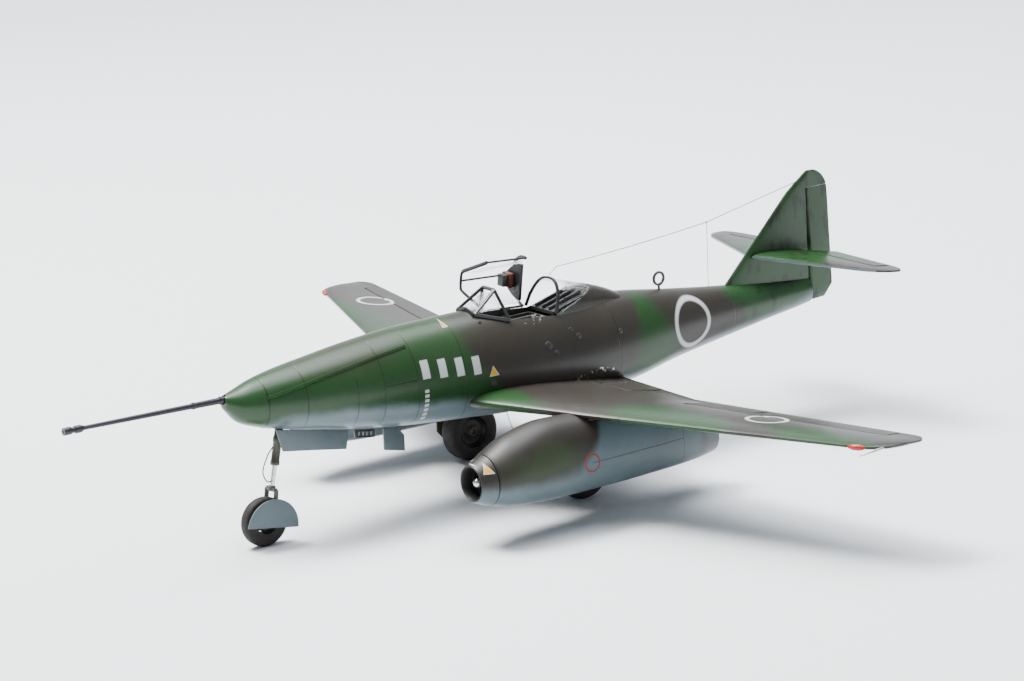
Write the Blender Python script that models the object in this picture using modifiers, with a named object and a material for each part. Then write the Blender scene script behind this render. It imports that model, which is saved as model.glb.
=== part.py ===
"""Scale model of a twin-jet, swept-wing fighter with a long cannon in its nose.

The aircraft's shape is written in full-size metres: x to the port side, y rearwards from the
nose tip, z up from the ground it stands on. SCALE brings it to the size of the model, whose
origin is the middle of its footprint on the ground. Walls, gaps, rods and plates are the
model's own sizes, written in model metres and brought to full size by full().
"""
import math
from dataclasses import dataclass

import bmesh
import bpy
import numpy as np
from mathutils import Matrix, Vector

SCALE = 1.0 / 48.0


def full(model_size):
    """A size of the model, in metres, as full-size metres."""
    return model_size / SCALE


# ---- the model's own sizes, in model metres -------------------------------------------------
GAP = full(0.0003)              # clearance between neighbouring pieces
RUNNING_GAP = full(0.0004)      # clearance around a piece that turns
SKIN_WALL = full(0.0012)        # wall of the fuselage halves
GLASS_WALL = full(0.0005)       # wall of the clear pieces
FRAME_BAR = full(0.0007)        # thickness of the canopy frames' bars
DOOR_SHEET = full(0.0006)       # thickness of the undercarriage doors
WIRE_RADIUS = full(0.00011)     # aerial wire
ROD_RADIUS = full(0.00035)      # probe, loop stem and other thin rods
EDGE = full(0.0006)             # thickness of trailing edges
WELD = full(0.000002)           # points closer than this are one

# ---- driving dimensions, in full-size metres -------------------------------------------------
NOSE_LENGTH = 3.75              # nose tip to the foot of the windscreen
CABIN_LENGTH = 2.75             # foot of the windscreen to behind the wing
TAIL_LENGTH = 3.95              # behind the wing to the end of the body
HALF_SPAN = 6.255
GUN_REACH = 2.31                # muzzle ahead of the nose tip
GUN_RADIUS = 0.047
ROOT_CHORD = 2.72
TIP_CHORD = 0.88
WING_SWEEP = 0.373              # rearward run of the leading edge over its outward run
NACELLE_SPACING = 2.06          # nacelle axis from the middle of the aircraft
NACELLE_LENGTH = 3.95
NACELLE_HALF_WIDTH = 0.45
MAIN_WHEEL_RADIUS = 0.42
MAIN_WHEEL_WIDTH = 0.28
MAIN_TRACK = 2.56               # between the middles of the main wheels
NOSE_WHEEL_RADIUS = 0.33
NOSE_WHEEL_WIDTH = 0.17
FIN_TOP = 3.55
TAILPLANE_HALF_SPAN = 1.92

# ---- places along the body --------------------------------------------------------------------
CABIN_Y = NOSE_LENGTH                       # foot of the windscreen
WAIST_Y = CABIN_Y + CABIN_LENGTH            # where the tail cone starts
BODY_END_Y = WAIST_Y + TAIL_LENGTH          # end of the body
RUDDER_CHORD = 0.40
TAIL_END_Y = BODY_END_Y + 0.15              # lower corner of the rudder
HINGE_Y = TAIL_END_Y - RUDDER_CHORD         # rudder hinge at its foot
WING_Y = CABIN_Y - 0.276                    # leading edge at the body's side
BODY_SIDE_X = 0.60                          # half width of the body at the wing
MIDDLE_Y = (TAIL_END_Y - GUN_REACH) / 2     # middle of the whole length


@dataclass(frozen=True)
class Section:
    """One cross-section of the body: top and underside heights, waist and half width."""

    share: float
    top: float
    bottom: float
    half_width: float
    waist: float
    squareness: float = 2.0


# each stretch of the body has its own sections, placed by their share of the stretch
NOSE_SECTIONS = (
    Section(0.000, 2.125, 1.950, 0.090, 2.040),
    Section(0.050, 2.176, 1.740, 0.215, 1.962),
    Section(0.115, 2.254, 1.632, 0.305, 1.931),
    Section(0.203, 2.325, 1.534, 0.385, 1.902),
    Section(0.347, 2.400, 1.430, 0.465, 1.857, 2.05),
    Section(0.533, 2.485, 1.302, 0.545, 1.801, 2.15),
    Section(0.747, 2.545, 1.191, 0.600, 1.748, 2.25),
    Section(1.000, 2.556, 1.108, 0.630, 1.687, 2.35),
)
CABIN_SECTIONS = (
    Section(0.273, 2.520, 1.053, 0.640, 1.637, 2.45),
    Section(0.636, 2.450, 1.041, 0.615, 1.606, 2.45),
    Section(1.000, 2.369, 1.079, 0.540, 1.621, 2.30),
)
TAIL_SECTIONS = (
    Section(0.228, 2.239, 1.219, 0.430, 1.678, 2.10),
    Section(0.456, 2.119, 1.333, 0.320, 1.726),
    Section(0.701, 2.012, 1.460, 0.215, 1.736),
    Section(0.911, 1.926, 1.562, 0.120, 1.744),
    Section(1.000, 1.890, 1.640, 0.070, 1.765),
)


# ==== scene, collections, materials ============================================================
for stale in list(bpy.data.objects):
    bpy.data.objects.remove(stale, do_unlink=True)

PARTS = bpy.data.collections.new("jet_fighter_model")
CUTTERS = bpy.data.collections.new("cutters")
for collection in (PARTS, CUTTERS):
    bpy.context.scene.collection.children.link(collection)

FINISHES = {
    "green": ((0.055, 0.120, 0.050), 0.55, 0.0),
    "brown": ((0.100, 0.090, 0.075), 0.60, 0.0),
    "blue_grey": ((0.300, 0.380, 0.400), 0.50, 0.0),
    "primer_grey": ((0.120, 0.130, 0.130), 0.60, 0.0),
    "black": ((0.015, 0.015, 0.015), 0.50, 0.0),
    "tyre": ((0.030, 0.026, 0.023), 0.85, 0.0),
    "olive": ((0.070, 0.070, 0.045), 0.60, 0.2),
    "gunmetal": ((0.060, 0.060, 0.070), 0.40, 0.8),
    "steel": ((0.550, 0.560, 0.580), 0.25, 1.0),
    "glass": ((0.850, 0.880, 0.900), 0.05, 0.0),
}


def finish_for(piece_name, finish):
    """A material of the piece's own, in the named finish."""
    colour, roughness, metallic = FINISHES[finish]
    material = bpy.data.materials.new(piece_name)
    material.use_nodes = True
    shader = material.node_tree.nodes["Principled BSDF"]
    shader.inputs["Base Color"].default_value = (*colour, 1.0)
    shader.inputs["Roughness"].default_value = roughness
    shader.inputs["Metallic"].default_value = metallic
    if finish == "glass":
        shader.inputs["Transmission Weight"].default_value = 0.9
    return material


# ==== building blocks ==========================================================================
def to_model(point):
    """A full-size point as a point of the model."""
    x, y, z = point
    return Vector((x, y - MIDDLE_Y, z)) * SCALE


def place(name, mesh, finish=None, pivot=None):
    """Put a full-size mesh into the scene as a piece, or as a cutter when it has no finish."""
    origin = to_model(pivot) if pivot is not None else Vector()
    for vertex in mesh.vertices:
        vertex.co = to_model(vertex.co) - origin
    piece = bpy.data.objects.new(name, mesh)
    piece.location = origin
    if finish is None:
        CUTTERS.objects.link(piece)
        piece.hide_render = True
        piece.display_type = "WIRE"
        return piece
    PARTS.objects.link(piece)
    mesh.materials.append(finish_for(name, finish))
    mesh.shade_smooth()
    mesh.set_sharp_from_angle(angle=math.radians(35))
    return piece


def as_mesh(name, bm):
    """The mesh of a bmesh, with its faces turned outwards."""
    bmesh.ops.recalc_face_normals(bm, faces=bm.faces)
    mesh = bpy.data.meshes.new(name)
    bm.to_mesh(mesh)
    bm.free()
    return mesh


def loft(name, rings, finish=None, pivot=None):
    """A closed body through rings of equal count, flat at both ends."""
    bm = bmesh.new()
    rows = [[bm.verts.new(point) for point in ring] for ring in rings]
    count = len(rows[0])
    for row, following in zip(rows, rows[1:]):
        for i in range(count):
            j = (i + 1) % count
            bm.faces.new((row[i], row[j], following[j], following[i]))
    bm.faces.new(rows[0])
    bm.faces.new(list(reversed(rows[-1])))
    return place(name, as_mesh(name, bm), finish, pivot)


def prism(name, outline, direction, finish=None, pivot=None):
    """A flat outline pushed along a direction."""
    bm = bmesh.new()
    face = bm.faces.new([bm.verts.new(point) for point in outline])
    pushed = bmesh.ops.extrude_face_region(bm, geom=[face])["geom"]
    moved = [item for item in pushed if isinstance(item, bmesh.types.BMVert)]
    bmesh.ops.translate(bm, verts=moved, vec=direction)
    return place(name, as_mesh(name, bm), finish, pivot)


def box(name, low, high, finish=None, pivot=None, bevel=0.0):
    """A box between two corners, with its edges rounded by bevel."""
    bm = bmesh.new()
    bmesh.ops.create_cube(bm, size=1.0)
    middle = (Vector(low) + Vector(high)) / 2
    span = Vector(high) - Vector(low)
    bmesh.ops.scale(bm, verts=bm.verts, vec=span)
    bmesh.ops.translate(bm, verts=bm.verts, vec=middle)
    piece = place(name, as_mesh(name, bm), finish, pivot)
    if bevel:
        rounding = piece.modifiers.new("rounded edges", "BEVEL")
        rounding.width = bevel * SCALE
        rounding.segments = 2
        rounding.limit_method = "ANGLE"
    return piece


def rod(name, start, end, radius, finish=None, pivot=None, end_radius=None, sides=16):
    """A round rod or cone between two points."""
    start, end = Vector(start), Vector(end)
    along = end - start
    bm = bmesh.new()
    bmesh.ops.create_cone(bm, cap_ends=True, segments=sides, radius1=radius,
                          radius2=radius if end_radius is None else end_radius, depth=along.length)
    aim = along.to_track_quat("Z", "Y").to_matrix()
    bmesh.ops.rotate(bm, verts=bm.verts, matrix=aim)
    bmesh.ops.translate(bm, verts=bm.verts, vec=(start + end) / 2)
    return place(name, as_mesh(name, bm), finish, pivot)


def turned(name, profile, centre, axis, finish=None, pivot=None, sides=32):
    """A body of revolution: closed profile of (distance along the axis, radius) points."""
    centre, axis = Vector(centre), Vector(axis).normalized()
    half_facet = Matrix.Rotation(math.pi / sides, 3, axis)
    out = half_facet @ axis.orthogonal().normalized()
    bm = bmesh.new()
    line = [bm.verts.new(centre + axis * along + out * radius) for along, radius in profile]
    edges = [bm.edges.new(pair) for pair in zip(line, line[1:])]
    ends_on_axis = profile[0][1] == 0.0 and profile[-1][1] == 0.0
    if not ends_on_axis:
        edges.append(bm.edges.new((line[-1], line[0])))
    bmesh.ops.spin(bm, geom=line + edges, cent=centre, axis=axis, angle=2 * math.pi, steps=sides,
                   use_merge=True)
    bmesh.ops.remove_doubles(bm, verts=bm.verts, dist=WELD)
    return place(name, as_mesh(name, bm), finish, pivot)


def tube(name, points, radius, finish, pivot=None, resolution=2):
    """A bent wire or rail along a chain of points, as a closed mesh."""
    curve = bpy.data.curves.new(name + " line", "CURVE")
    curve.dimensions = "3D"
    curve.bevel_depth = radius * SCALE
    curve.bevel_resolution = resolution
    curve.use_fill_caps = True
    line = curve.splines.new("POLY")
    line.points.add(len(points) - 1)
    for target, point in zip(line.points, points):
        target.co = (*to_model(point), 1.0)
    drawn = bpy.data.objects.new(name + " line", curve)
    bpy.context.scene.collection.objects.link(drawn)
    graph = bpy.context.evaluated_depsgraph_get()
    mesh = bpy.data.meshes.new_from_object(drawn.evaluated_get(graph))
    mesh.name = name
    bpy.data.objects.remove(drawn, do_unlink=True)
    bm = bmesh.new()
    bm.from_mesh(mesh)
    bmesh.ops.remove_doubles(bm, verts=bm.verts, dist=1e-7)
    for vertex in bm.verts:
        vertex.co = vertex.co / SCALE + Vector((0, MIDDLE_Y, 0))
    bmesh.ops.recalc_face_normals(bm, faces=bm.faces)
    bm.to_mesh(mesh)
    bm.free()
    mesh.materials.clear()
    return place(name, mesh, finish, pivot)


def combine(piece, other, operation="DIFFERENCE"):
    """Cut a piece with another object, or join that object into it."""
    step = piece.modifiers.new(f"{operation.lower()} {other.name}", "BOOLEAN")
    step.operation = operation
    step.solver = "EXACT"
    step.object = other
    return piece


def smooth_curve(knots, values, at):
    """Monotone cubic curve through the knots, read at the given places."""
    knots, values, at = (np.asarray(item, dtype=float) for item in (knots, values, at))
    steps = np.diff(knots)
    slopes = np.diff(values) / steps
    tangents = np.zeros_like(values)
    tangents[0], tangents[-1] = slopes[0], slopes[-1]
    for i in range(1, len(values) - 1):
        if slopes[i - 1] * slopes[i] > 0:
            before, after = 2 * steps[i] + steps[i - 1], steps[i] + 2 * steps[i - 1]
            tangents[i] = (before + after) / (before / slopes[i - 1] + after / slopes[i])
    index = np.clip(np.searchsorted(knots, at) - 1, 0, len(steps) - 1)
    t = (at - knots[index]) / steps[index]
    width = steps[index]
    return (values[index] * (1 + 2 * t) * (1 - t) ** 2 + tangents[index] * width * t * (1 - t) ** 2
            + values[index + 1] * t * t * (3 - 2 * t) + tangents[index + 1] * width * t * t * (t - 1))


# ==== body =====================================================================================
BODY_KNOTS = ([s.share * NOSE_LENGTH for s in NOSE_SECTIONS]
              + [CABIN_Y + s.share * CABIN_LENGTH for s in CABIN_SECTIONS]
              + [WAIST_Y + s.share * TAIL_LENGTH for s in TAIL_SECTIONS])
BODY_SECTIONS = NOSE_SECTIONS + CABIN_SECTIONS + TAIL_SECTIONS


def body_section(y):
    """The body's cross-section values at a place along it."""
    values = [float(smooth_curve(BODY_KNOTS, [getattr(s, field) for s in BODY_SECTIONS], y))
              for field in ("top", "bottom", "half_width", "waist", "squareness")]
    return Section(y, *values)


def body_ring(y, grow=0.0, sides=24):
    """The closed ring of the body's surface at y, moved outwards by grow."""
    s = body_section(y)
    ring = []
    for i in range(sides):
        angle = 2 * math.pi * i / sides
        up, out = math.cos(angle), math.sin(angle)
        height = (s.top - s.waist if up >= 0 else s.waist - s.bottom) + grow
        power = 2 / (s.squareness if up < 0 else 2 - (s.squareness - 2) * 0.35)
        x = (s.half_width + grow) * math.copysign(abs(out) ** power, out)
        z = s.waist + height * math.copysign(abs(up) ** power, up)
        ring.append((x, y, z))
    return ring


def skin_z(y, x, top=True):
    """Height of the body's skin at a place, on its top or on its underside."""
    s = body_section(y)
    power = 2 - (s.squareness - 2) * 0.35 if top else s.squareness
    height = (1 - min(1.0, abs(x) / s.half_width) ** power) ** (1 / power)
    return s.waist + (s.top - s.waist if top else s.bottom - s.waist) * height


def body_stations(start, end, count):
    """Places along the body, closer together towards the nose."""
    return [start + (end - start) * (i / count) ** 1.15 for i in range(count + 1)]


def body_cutter(name, grow, start, end, count=26):
    """The body's own shape, to trim what sits against it."""
    return loft(name, [body_ring(y, grow) for y in body_stations(start, end, count)])


NOSE_CAP_END = 0.50
CAVITY_END = BODY_END_Y - 0.95
SEAM = GAP / 2
COCKPIT_HALF_WIDTH = 0.335
COCKPIT_FRONT = CABIN_Y + 0.20
HOOP_Y = CABIN_Y + 1.415            # hoop of the fixed rear canopy
COCKPIT_REAR = HOOP_Y + 0.45
SILL_Z = 2.335
NOSE_BAY = (0.62, 2.78, 0.135, 1.66)   # front, rear, half width, roof
WHEEL_BAY_HALF_WIDTH = 0.40
WHEEL_Y = WING_Y + 1.296


def side_block(name, sign, low_x):
    """Everything on one side of the middle plane, from low_x outwards."""
    reach = HALF_SPAN + 1.0
    low = min(sign * low_x, sign * reach)
    high = max(sign * low_x, sign * reach)
    return box(name, (low, -GUN_REACH - 1, -1.0), (high, TAIL_END_Y + 1, FIN_TOP + 1))


def cockpit_outline(grow=0.0):
    """Outline of the cockpit opening, seen from above."""
    half = COCKPIT_HALF_WIDTH + grow
    front, rear = COCKPIT_FRONT - grow, COCKPIT_REAR + grow
    return [(half * 0.45, front), (half * 0.95, front + 0.30), (half, HOOP_Y), (half * 0.55, rear),
            (-half * 0.55, rear), (-half, HOOP_Y), (-half * 0.95, front + 0.30), (-half * 0.45, front)]


def make_body_halves():
    """Port and starboard shells, with the cockpit, bay and wing openings."""
    cavity = body_cutter("body cavity", -SKIN_WALL, NOSE_CAP_END - 0.1, CAVITY_END)
    opening = prism("cockpit opening", [(x, y, SILL_Z - 0.42) for x, y in cockpit_outline()], (0, 0, 1.0))
    front, rear, half, roof = NOSE_BAY
    nose_bay = box("nose bay", (-half, front, 0.8), (half, rear, roof))
    wheel_bays = [box("wheel bay", (min(sign * 0.06, sign * WHEEL_BAY_HALF_WIDTH), WHEEL_Y - 0.48, 0.8),
                      (max(sign * 0.06, sign * WHEEL_BAY_HALF_WIDTH), WHEEL_Y + 0.48, 1.17))
                  for sign in (1, -1)]
    wing_slot = wing_solid("wing slot", "lower", -HALF_SPAN * 0.3, HALF_SPAN * 0.3, grow=GAP)
    for sign, name in ((1, "fuselage_left"), (-1, "fuselage_right")):
        rings = [body_ring(y) for y in body_stations(NOSE_CAP_END, BODY_END_Y, 26)]
        shell = loft(name, rings, "green")
        combine(shell, cavity)
        combine(shell, side_block(f"{name} side", -sign, -SEAM))
        for cutter in [opening, nose_bay, wing_slot] + wheel_bays:
            combine(shell, cutter)


def make_nose():
    """Nose cap with the collar that carries the gun, and the slug of metal behind it."""
    stations = [0.0, 0.03, 0.08, 0.15, 0.24, 0.36, NOSE_CAP_END - GAP]
    cap = loft("nose_cap", [body_ring(y) for y in stations], "green")
    socket = rod("gun socket", (0, -0.1, GUN_Z), (0, NOSE_CAP_END - 0.12, GUN_Z), GUN_RADIUS + GAP)
    combine(cap, socket)
    slug_front = NOSE_CAP_END + GAP
    rod("nose_weight", (0, slug_front, 1.965), (0, slug_front + 1.35, 2.06), 0.19, "steel",
        end_radius=0.24, sides=24)


# ==== gun ======================================================================================
GUN_Z = 2.075
GUN_RISE = 0.023                   # rise of the barrel over its forward run


def make_gun():
    """Long barrel with a sleeve at the nose, and a slotted muzzle brake on its end."""
    root, tip_radius = NOSE_CAP_END - 0.16, GUN_RADIUS * 0.62
    brake = 0.30
    profile = [(-root, 0.0), (-root, GUN_RADIUS), (0.02, GUN_RADIUS), (0.05, GUN_RADIUS * 0.92),
               (0.42, GUN_RADIUS * 0.86), (0.46, GUN_RADIUS * 0.76), (GUN_REACH - brake, tip_radius),
               (GUN_REACH - brake, 0.0)]
    axis = (0, -1, GUN_RISE)
    turned("gun_barrel", profile, (0, 0, GUN_Z), axis, "gunmetal", sides=16)
    start = GUN_REACH - brake + GAP
    outer, throat = tip_radius * 1.75, tip_radius * 0.5
    muzzle = [(start, 0.0), (start, tip_radius * 1.1), (start + 0.05, outer), (start + 0.12, outer),
              (start + 0.14, outer * 0.8), (start + 0.18, outer * 0.8), (start + 0.20, outer),
              (GUN_REACH, outer), (GUN_REACH, throat), (start + 0.10, throat), (start + 0.10, 0.0)]
    turned("muzzle_brake", muzzle, (0, 0, GUN_Z), axis, "gunmetal", sides=16)


# ==== wing =====================================================================================
ROOT_LEADING_Z = 1.454
LEADING_RISE = 0.0150               # rise of the leading edge over its outward run
TRAILING_KINK_X = NACELLE_SPACING
TRAILING_KINK = 0.155               # how far the kink in the trailing edge lies ahead
ROOT_TRAILING_Z = 1.251
TIP_TRAILING_Z = 1.505
ROOT_THICKNESS, TIP_THICKNESS = 0.11, 0.09
TIP_ROUND = 0.26                    # how far in from the tip its rounding starts


def wing_chord(x):
    """Leading and trailing edge points of the wing at a distance x from the middle."""
    out = max(abs(x), 0.0) - BODY_SIDE_X
    lead = Vector((x, WING_Y + WING_SWEEP * out, ROOT_LEADING_Z + LEADING_RISE * out))
    root_trail = WING_Y + ROOT_CHORD
    tip_trail = WING_Y + WING_SWEEP * (HALF_SPAN - BODY_SIDE_X) + TIP_CHORD
    trail_y = smooth_linear(abs(x), (BODY_SIDE_X, TRAILING_KINK_X + 0.25, HALF_SPAN),
                            (root_trail, root_trail - TRAILING_KINK - 0.08, tip_trail))
    share = out / (HALF_SPAN - BODY_SIDE_X)
    trail = Vector((x, trail_y, ROOT_TRAILING_Z + (TIP_TRAILING_Z - ROOT_TRAILING_Z) * share))
    inward = (HALF_SPAN - abs(x)) / TIP_ROUND
    if inward < 1:
        bulge = 1 - math.sqrt(max(0.0, 1 - (1 - inward) ** 2))
        lead, trail = lead.lerp(trail, 0.42 * bulge), trail.lerp(lead, 0.24 * bulge)
    return lead, trail


def smooth_linear(x, knots, values):
    """Straight runs between knots, run on past both ends."""
    if x <= knots[1]:
        return values[0] + (values[1] - values[0]) * (x - knots[0]) / (knots[1] - knots[0])
    return values[1] + (values[2] - values[1]) * (x - knots[1]) / (knots[2] - knots[1])


def half_thickness(share, thickness):
    """Half thickness of the aerofoil at a share of the chord, as a share of the chord."""
    s = min(max(share, 0.0), 1.0)
    return 5 * thickness * (0.2969 * math.sqrt(s) - 0.1260 * s - 0.3516 * s ** 2
                            + 0.2843 * s ** 3 - 0.1015 * s ** 4)


def chord_shares(count):
    """Shares of the chord from nose to tail, closer together at the nose."""
    return [1 - math.cos(math.pi * i / count / 2) for i in range(count)] + [1.0]


def wing_ring(x, which, grow=0.0, count=8):
    """Closed ring of the wing at x: its upper half, its lower half, or both."""
    lead, trail = wing_chord(x)
    chord = trail - lead
    share = (abs(x) - BODY_SIDE_X) / (HALF_SPAN - BODY_SIDE_X)
    thickness = ROOT_THICKNESS + (TIP_THICKNESS - ROOT_THICKNESS) * share
    shares = chord_shares(count)
    length = chord.length
    lift = Vector((0, 0, 1))

    def surface(s, side):
        depth = max(half_thickness(s, thickness) * length, EDGE / 2) + grow
        return lead + chord * s + lift * side * depth

    gap = SEAM - grow
    split_shares = shares[1:]
    if which == "both":
        upper = [surface(s, 1) for s in shares]
        return upper + [surface(s, -1) for s in reversed(split_shares)]
    side = 1 if which == "upper" else -1
    skin = [surface(s, side) for s in split_shares]
    middle = [lead + chord * s + lift * side * gap for s in (shares[-1], shares[len(shares) // 2],
                                                             shares[1])]
    return skin + middle


def wing_stations(start, end, spacing=0.9):
    """Spanwise places from start to end, closer together where the tip is rounded."""
    low, high = min(start, end), max(start, end)
    count = max(2, round((high - low) / spacing))
    places = {round(low + (high - low) * i / count, 4) for i in range(count + 1)}
    tip_start = HALF_SPAN - TIP_ROUND
    for share in (0.0, 0.35, 0.65, 0.85, 0.95):
        for sign in (1, -1):
            at = sign * (tip_start + TIP_ROUND * share)
            if low < at < high:
                places.add(round(at, 4))
    for sign in (1, -1):
        for at in (BODY_SIDE_X, TRAILING_KINK_X + 0.25):
            if low < sign * at < high:
                places.add(round(sign * at, 4))
    return sorted(places)


def wing_solid(name, which, start, end, finish=None, grow=0.0):
    """The wing between two spanwise places."""
    return loft(name, [wing_ring(x, which, grow) for x in wing_stations(start, end)], finish)


@dataclass(frozen=True)
class Surface:
    """A hinged strip of a trailing edge between two spanwise places."""

    name: str
    inner: float
    outer: float
    hinge_share: float


NACELLE_CLEAR = NACELLE_HALF_WIDTH + 0.10
SURFACES = (
    Surface("flap_inner", 0.86, NACELLE_SPACING - NACELLE_CLEAR, 0.76),
    Surface("flap_outer", NACELLE_SPACING + NACELLE_CLEAR, 3.62, 0.76),
    Surface("aileron", 3.70, 5.78, 0.74),
)


def hinge_point(surface, x):
    """The hinge axis of a strip at x, and the strip's nose radius there."""
    lead, trail = wing_chord(x)
    share = (abs(x) - BODY_SIDE_X) / (HALF_SPAN - BODY_SIDE_X)
    thickness = ROOT_THICKNESS + (TIP_THICKNESS - ROOT_THICKNESS) * share
    radius = half_thickness(surface.hinge_share, thickness) * (trail - lead).length
    return lead.lerp(trail, surface.hinge_share), radius, trail


def strip_ring(hinge, radius, trail, steps=6):
    """Ring of a hinged strip: a round nose about its hinge, and a thin trailing edge."""
    along = (trail - hinge).normalized()
    up = Vector((0, 0, 1)) - along * along.z
    up.normalize()
    nose = []
    for i in range(steps + 1):
        angle = math.pi / 2 + math.pi * i / steps
        nose.append(hinge + along * math.cos(angle) * radius + up * math.sin(angle) * radius)
    return nose + [trail - up * EDGE / 2, trail + up * EDGE / 2]


def make_strip(surface, sign, finish):
    """One aileron or flap, and the notch it needs in the wing."""
    side = "left" if sign > 0 else "right"
    ends = [sign * surface.inner, sign * surface.outer]
    inner, outer = (hinge_point(surface, x) for x in ends)
    loft(f"{surface.name}_{side}", [strip_ring(*inner), strip_ring(*outer)], finish, pivot=inner[0])
    notch = []
    for x, shift in ((ends[0] - sign * GAP, 0), (ends[1] + sign * GAP, 1)):
        hinge, radius, trail = hinge_point(surface, x)
        notch.append((x, hinge.y - radius - RUNNING_GAP))
    far = max(inner[2].y, outer[2].y) + 0.3
    outline = [(notch[0][0], notch[0][1], 0.8), (notch[1][0], notch[1][1], 0.8),
               (notch[1][0], far, 0.8), (notch[0][0], far, 0.8)]
    return prism(f"{surface.name} notch", outline, (0, 0, 1.4))


def make_wing():
    """Full-span lower half, two upper halves, ailerons and flaps, and the pitot tube."""
    lower = wing_solid("wing_lower", "lower", -HALF_SPAN, HALF_SPAN, "blue_grey")
    root = body_cutter("body at the wing root", GAP, WING_Y - 0.6, WAIST_Y + 0.3)
    uppers = {}
    for sign, name in ((1, "wing_upper_left"), (-1, "wing_upper_right")):
        uppers[sign] = wing_solid(name, "upper", sign * 0.3, sign * HALF_SPAN, "brown")
        combine(uppers[sign], root)
    for sign in (1, -1):
        for surface in SURFACES:
            notch = make_strip(surface, sign, "brown")
            combine(lower, notch)
            combine(uppers[sign], notch)
    pitot_x = HALF_SPAN - TIP_ROUND / 5
    lead, _ = wing_chord(pitot_x)
    rod("pitot_tube", lead + Vector((0, -GAP, 0)), lead + Vector((0, -0.42, -0.02)), ROD_RADIUS, "steel",
        end_radius=ROD_RADIUS * 0.6, sides=10)


# ==== nacelles =================================================================================
NACELLE_Y = WING_Y - 1.084
NACELLE_Z = 0.878
NACELLE_DROP = 0.032               # fall of the axis over its rearward run
LIP_DEPTH = 0.20
DUCT_RADIUS = 0.262
# share of the length, half width share, depth below the axis, height above it
NACELLE_SHAPE = ((0.000, 0.555, 0.250, 0.250), (0.040, 0.690, 0.312, 0.325), (0.080, 0.820, 0.352, 0.410),
                 (0.150, 0.960, 0.392, 0.545), (0.300, 1.000, 0.415, 0.668), (0.520, 1.000, 0.395, 0.640),
                 (0.740, 0.950, 0.358, 0.600), (0.910, 0.800, 0.318, 0.500), (1.000, 0.620, 0.270, 0.300))


def nacelle_axis(share):
    """A point of the nacelle's axis, as y and z."""
    run = share * NACELLE_LENGTH
    return NACELLE_Y + run, NACELLE_Z - NACELLE_DROP * run


def nacelle_ring(share, sign, sides=24):
    """Closed ring of a nacelle's outside."""
    table = list(zip(*NACELLE_SHAPE))
    width, below, above = (float(smooth_curve(table[0], column, share)) for column in table[1:])
    width *= NACELLE_HALF_WIDTH
    y, z = nacelle_axis(share)
    ring = []
    for i in range(sides):
        angle = 2 * math.pi * i / sides
        up, out = math.cos(angle), math.sin(angle)
        ring.append((sign * NACELLE_SPACING + width * out, y, z + (above if up > 0 else below) * up))
    return ring


def make_nacelles():
    """For each side: the nacelle shell, intake ring, compressor face and tail cone."""
    lip_share = LIP_DEPTH / NACELLE_LENGTH
    for sign, side in ((1, "left"), (-1, "right")):
        x = sign * NACELLE_SPACING
        shares = [lip_share + GAP / NACELLE_LENGTH] + [0.08, 0.115, 0.15, 0.22, 0.30, 0.36, 0.44, 0.52, 0.63,
                                                       0.74, 0.84, 0.91, 0.96, 1.0]
        shell = loft(f"nacelle_{side}", [nacelle_ring(s, sign) for s in shares], "blue_grey")
        start, end = nacelle_axis(-0.05), nacelle_axis(1.05)
        combine(shell, rod("duct", (x, *start), (x, *end), DUCT_RADIUS, sides=20))
        seat = wing_solid("wing seat", "both", x - 0.9, x + 0.9, grow=GAP)
        combine(shell, seat)
        roof = prism("above the wing", [(x - 0.7, NACELLE_Y + 1.95, 1.36), (x + 0.7, NACELLE_Y + 1.95, 1.36),
                                        (x + 0.7, TAIL_END_Y, 1.26), (x - 0.7, TAIL_END_Y, 1.26)],
                                        (0, 0, 0.8))
        combine(shell, roof)
        lip = nacelle_ring(lip_share, sign)
        outer = (lip[0][2] - lip[12][2]) / 2
        y, z = nacelle_axis(0)
        profile = [(0.0, 0.238), (-0.015, 0.228), (0.0, 0.216), (0.05, 0.208), (LIP_DEPTH, 0.215),
                   (LIP_DEPTH, outer - 0.002), (0.12, outer * 0.90), (0.04, outer * 0.80)]
        turned(f"intake_ring_{side}", profile, (x, y, z), (0, 1, 0), "primer_grey", sides=24)
        axis = (0, 1, -NACELLE_DROP)
        face_y, face_z = nacelle_axis(0.16)
        disc, spinner = DUCT_RADIUS - GAP, 0.075
        tip = face_y - NACELLE_Y - 0.03
        face = [(0.0, 0.0), (0.0, disc), (-0.09, disc), (-0.09, spinner * 1.5), (-0.12, spinner),
                (-tip + 0.08, spinner), (-tip + 0.03, spinner * 0.8), (-tip, 0.0)]
        turned(f"compressor_face_{side}", face, (x, face_y, face_z), axis, "steel", sides=20)
        cone_y, cone_z = nacelle_axis(0.86)
        cone = [(0.0, 0.0), (0.0, disc), (0.08, disc), (0.08, 0.15), (0.30, 0.185), (0.52, 0.16),
                (0.75, 0.03), (0.76, 0.0)]
        turned(f"exhaust_cone_{side}", cone, (x, cone_y, cone_z), axis, "gunmetal", sides=20)


# ==== tail =====================================================================================
FIN_ROOT_Y = BODY_END_Y - 1.90
FIN_THICKNESS = 0.085
TAILPLANE_Z = 2.37
TAILPLANE_Y = TAIL_END_Y - 1.63
TAILPLANE_SWEEP = 0.43
TAILPLANE_CHORD = 1.49
TAILPLANE_NOSE_UP = 0.09            # fall of the tailplane over its rearward run
ELEVATOR_SHARE = 0.70
RUDDER_TOP = FIN_TOP - 0.27
RUDDER_LEAN = 0.06                  # how far the rudder hinge leans forward at its top


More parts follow.
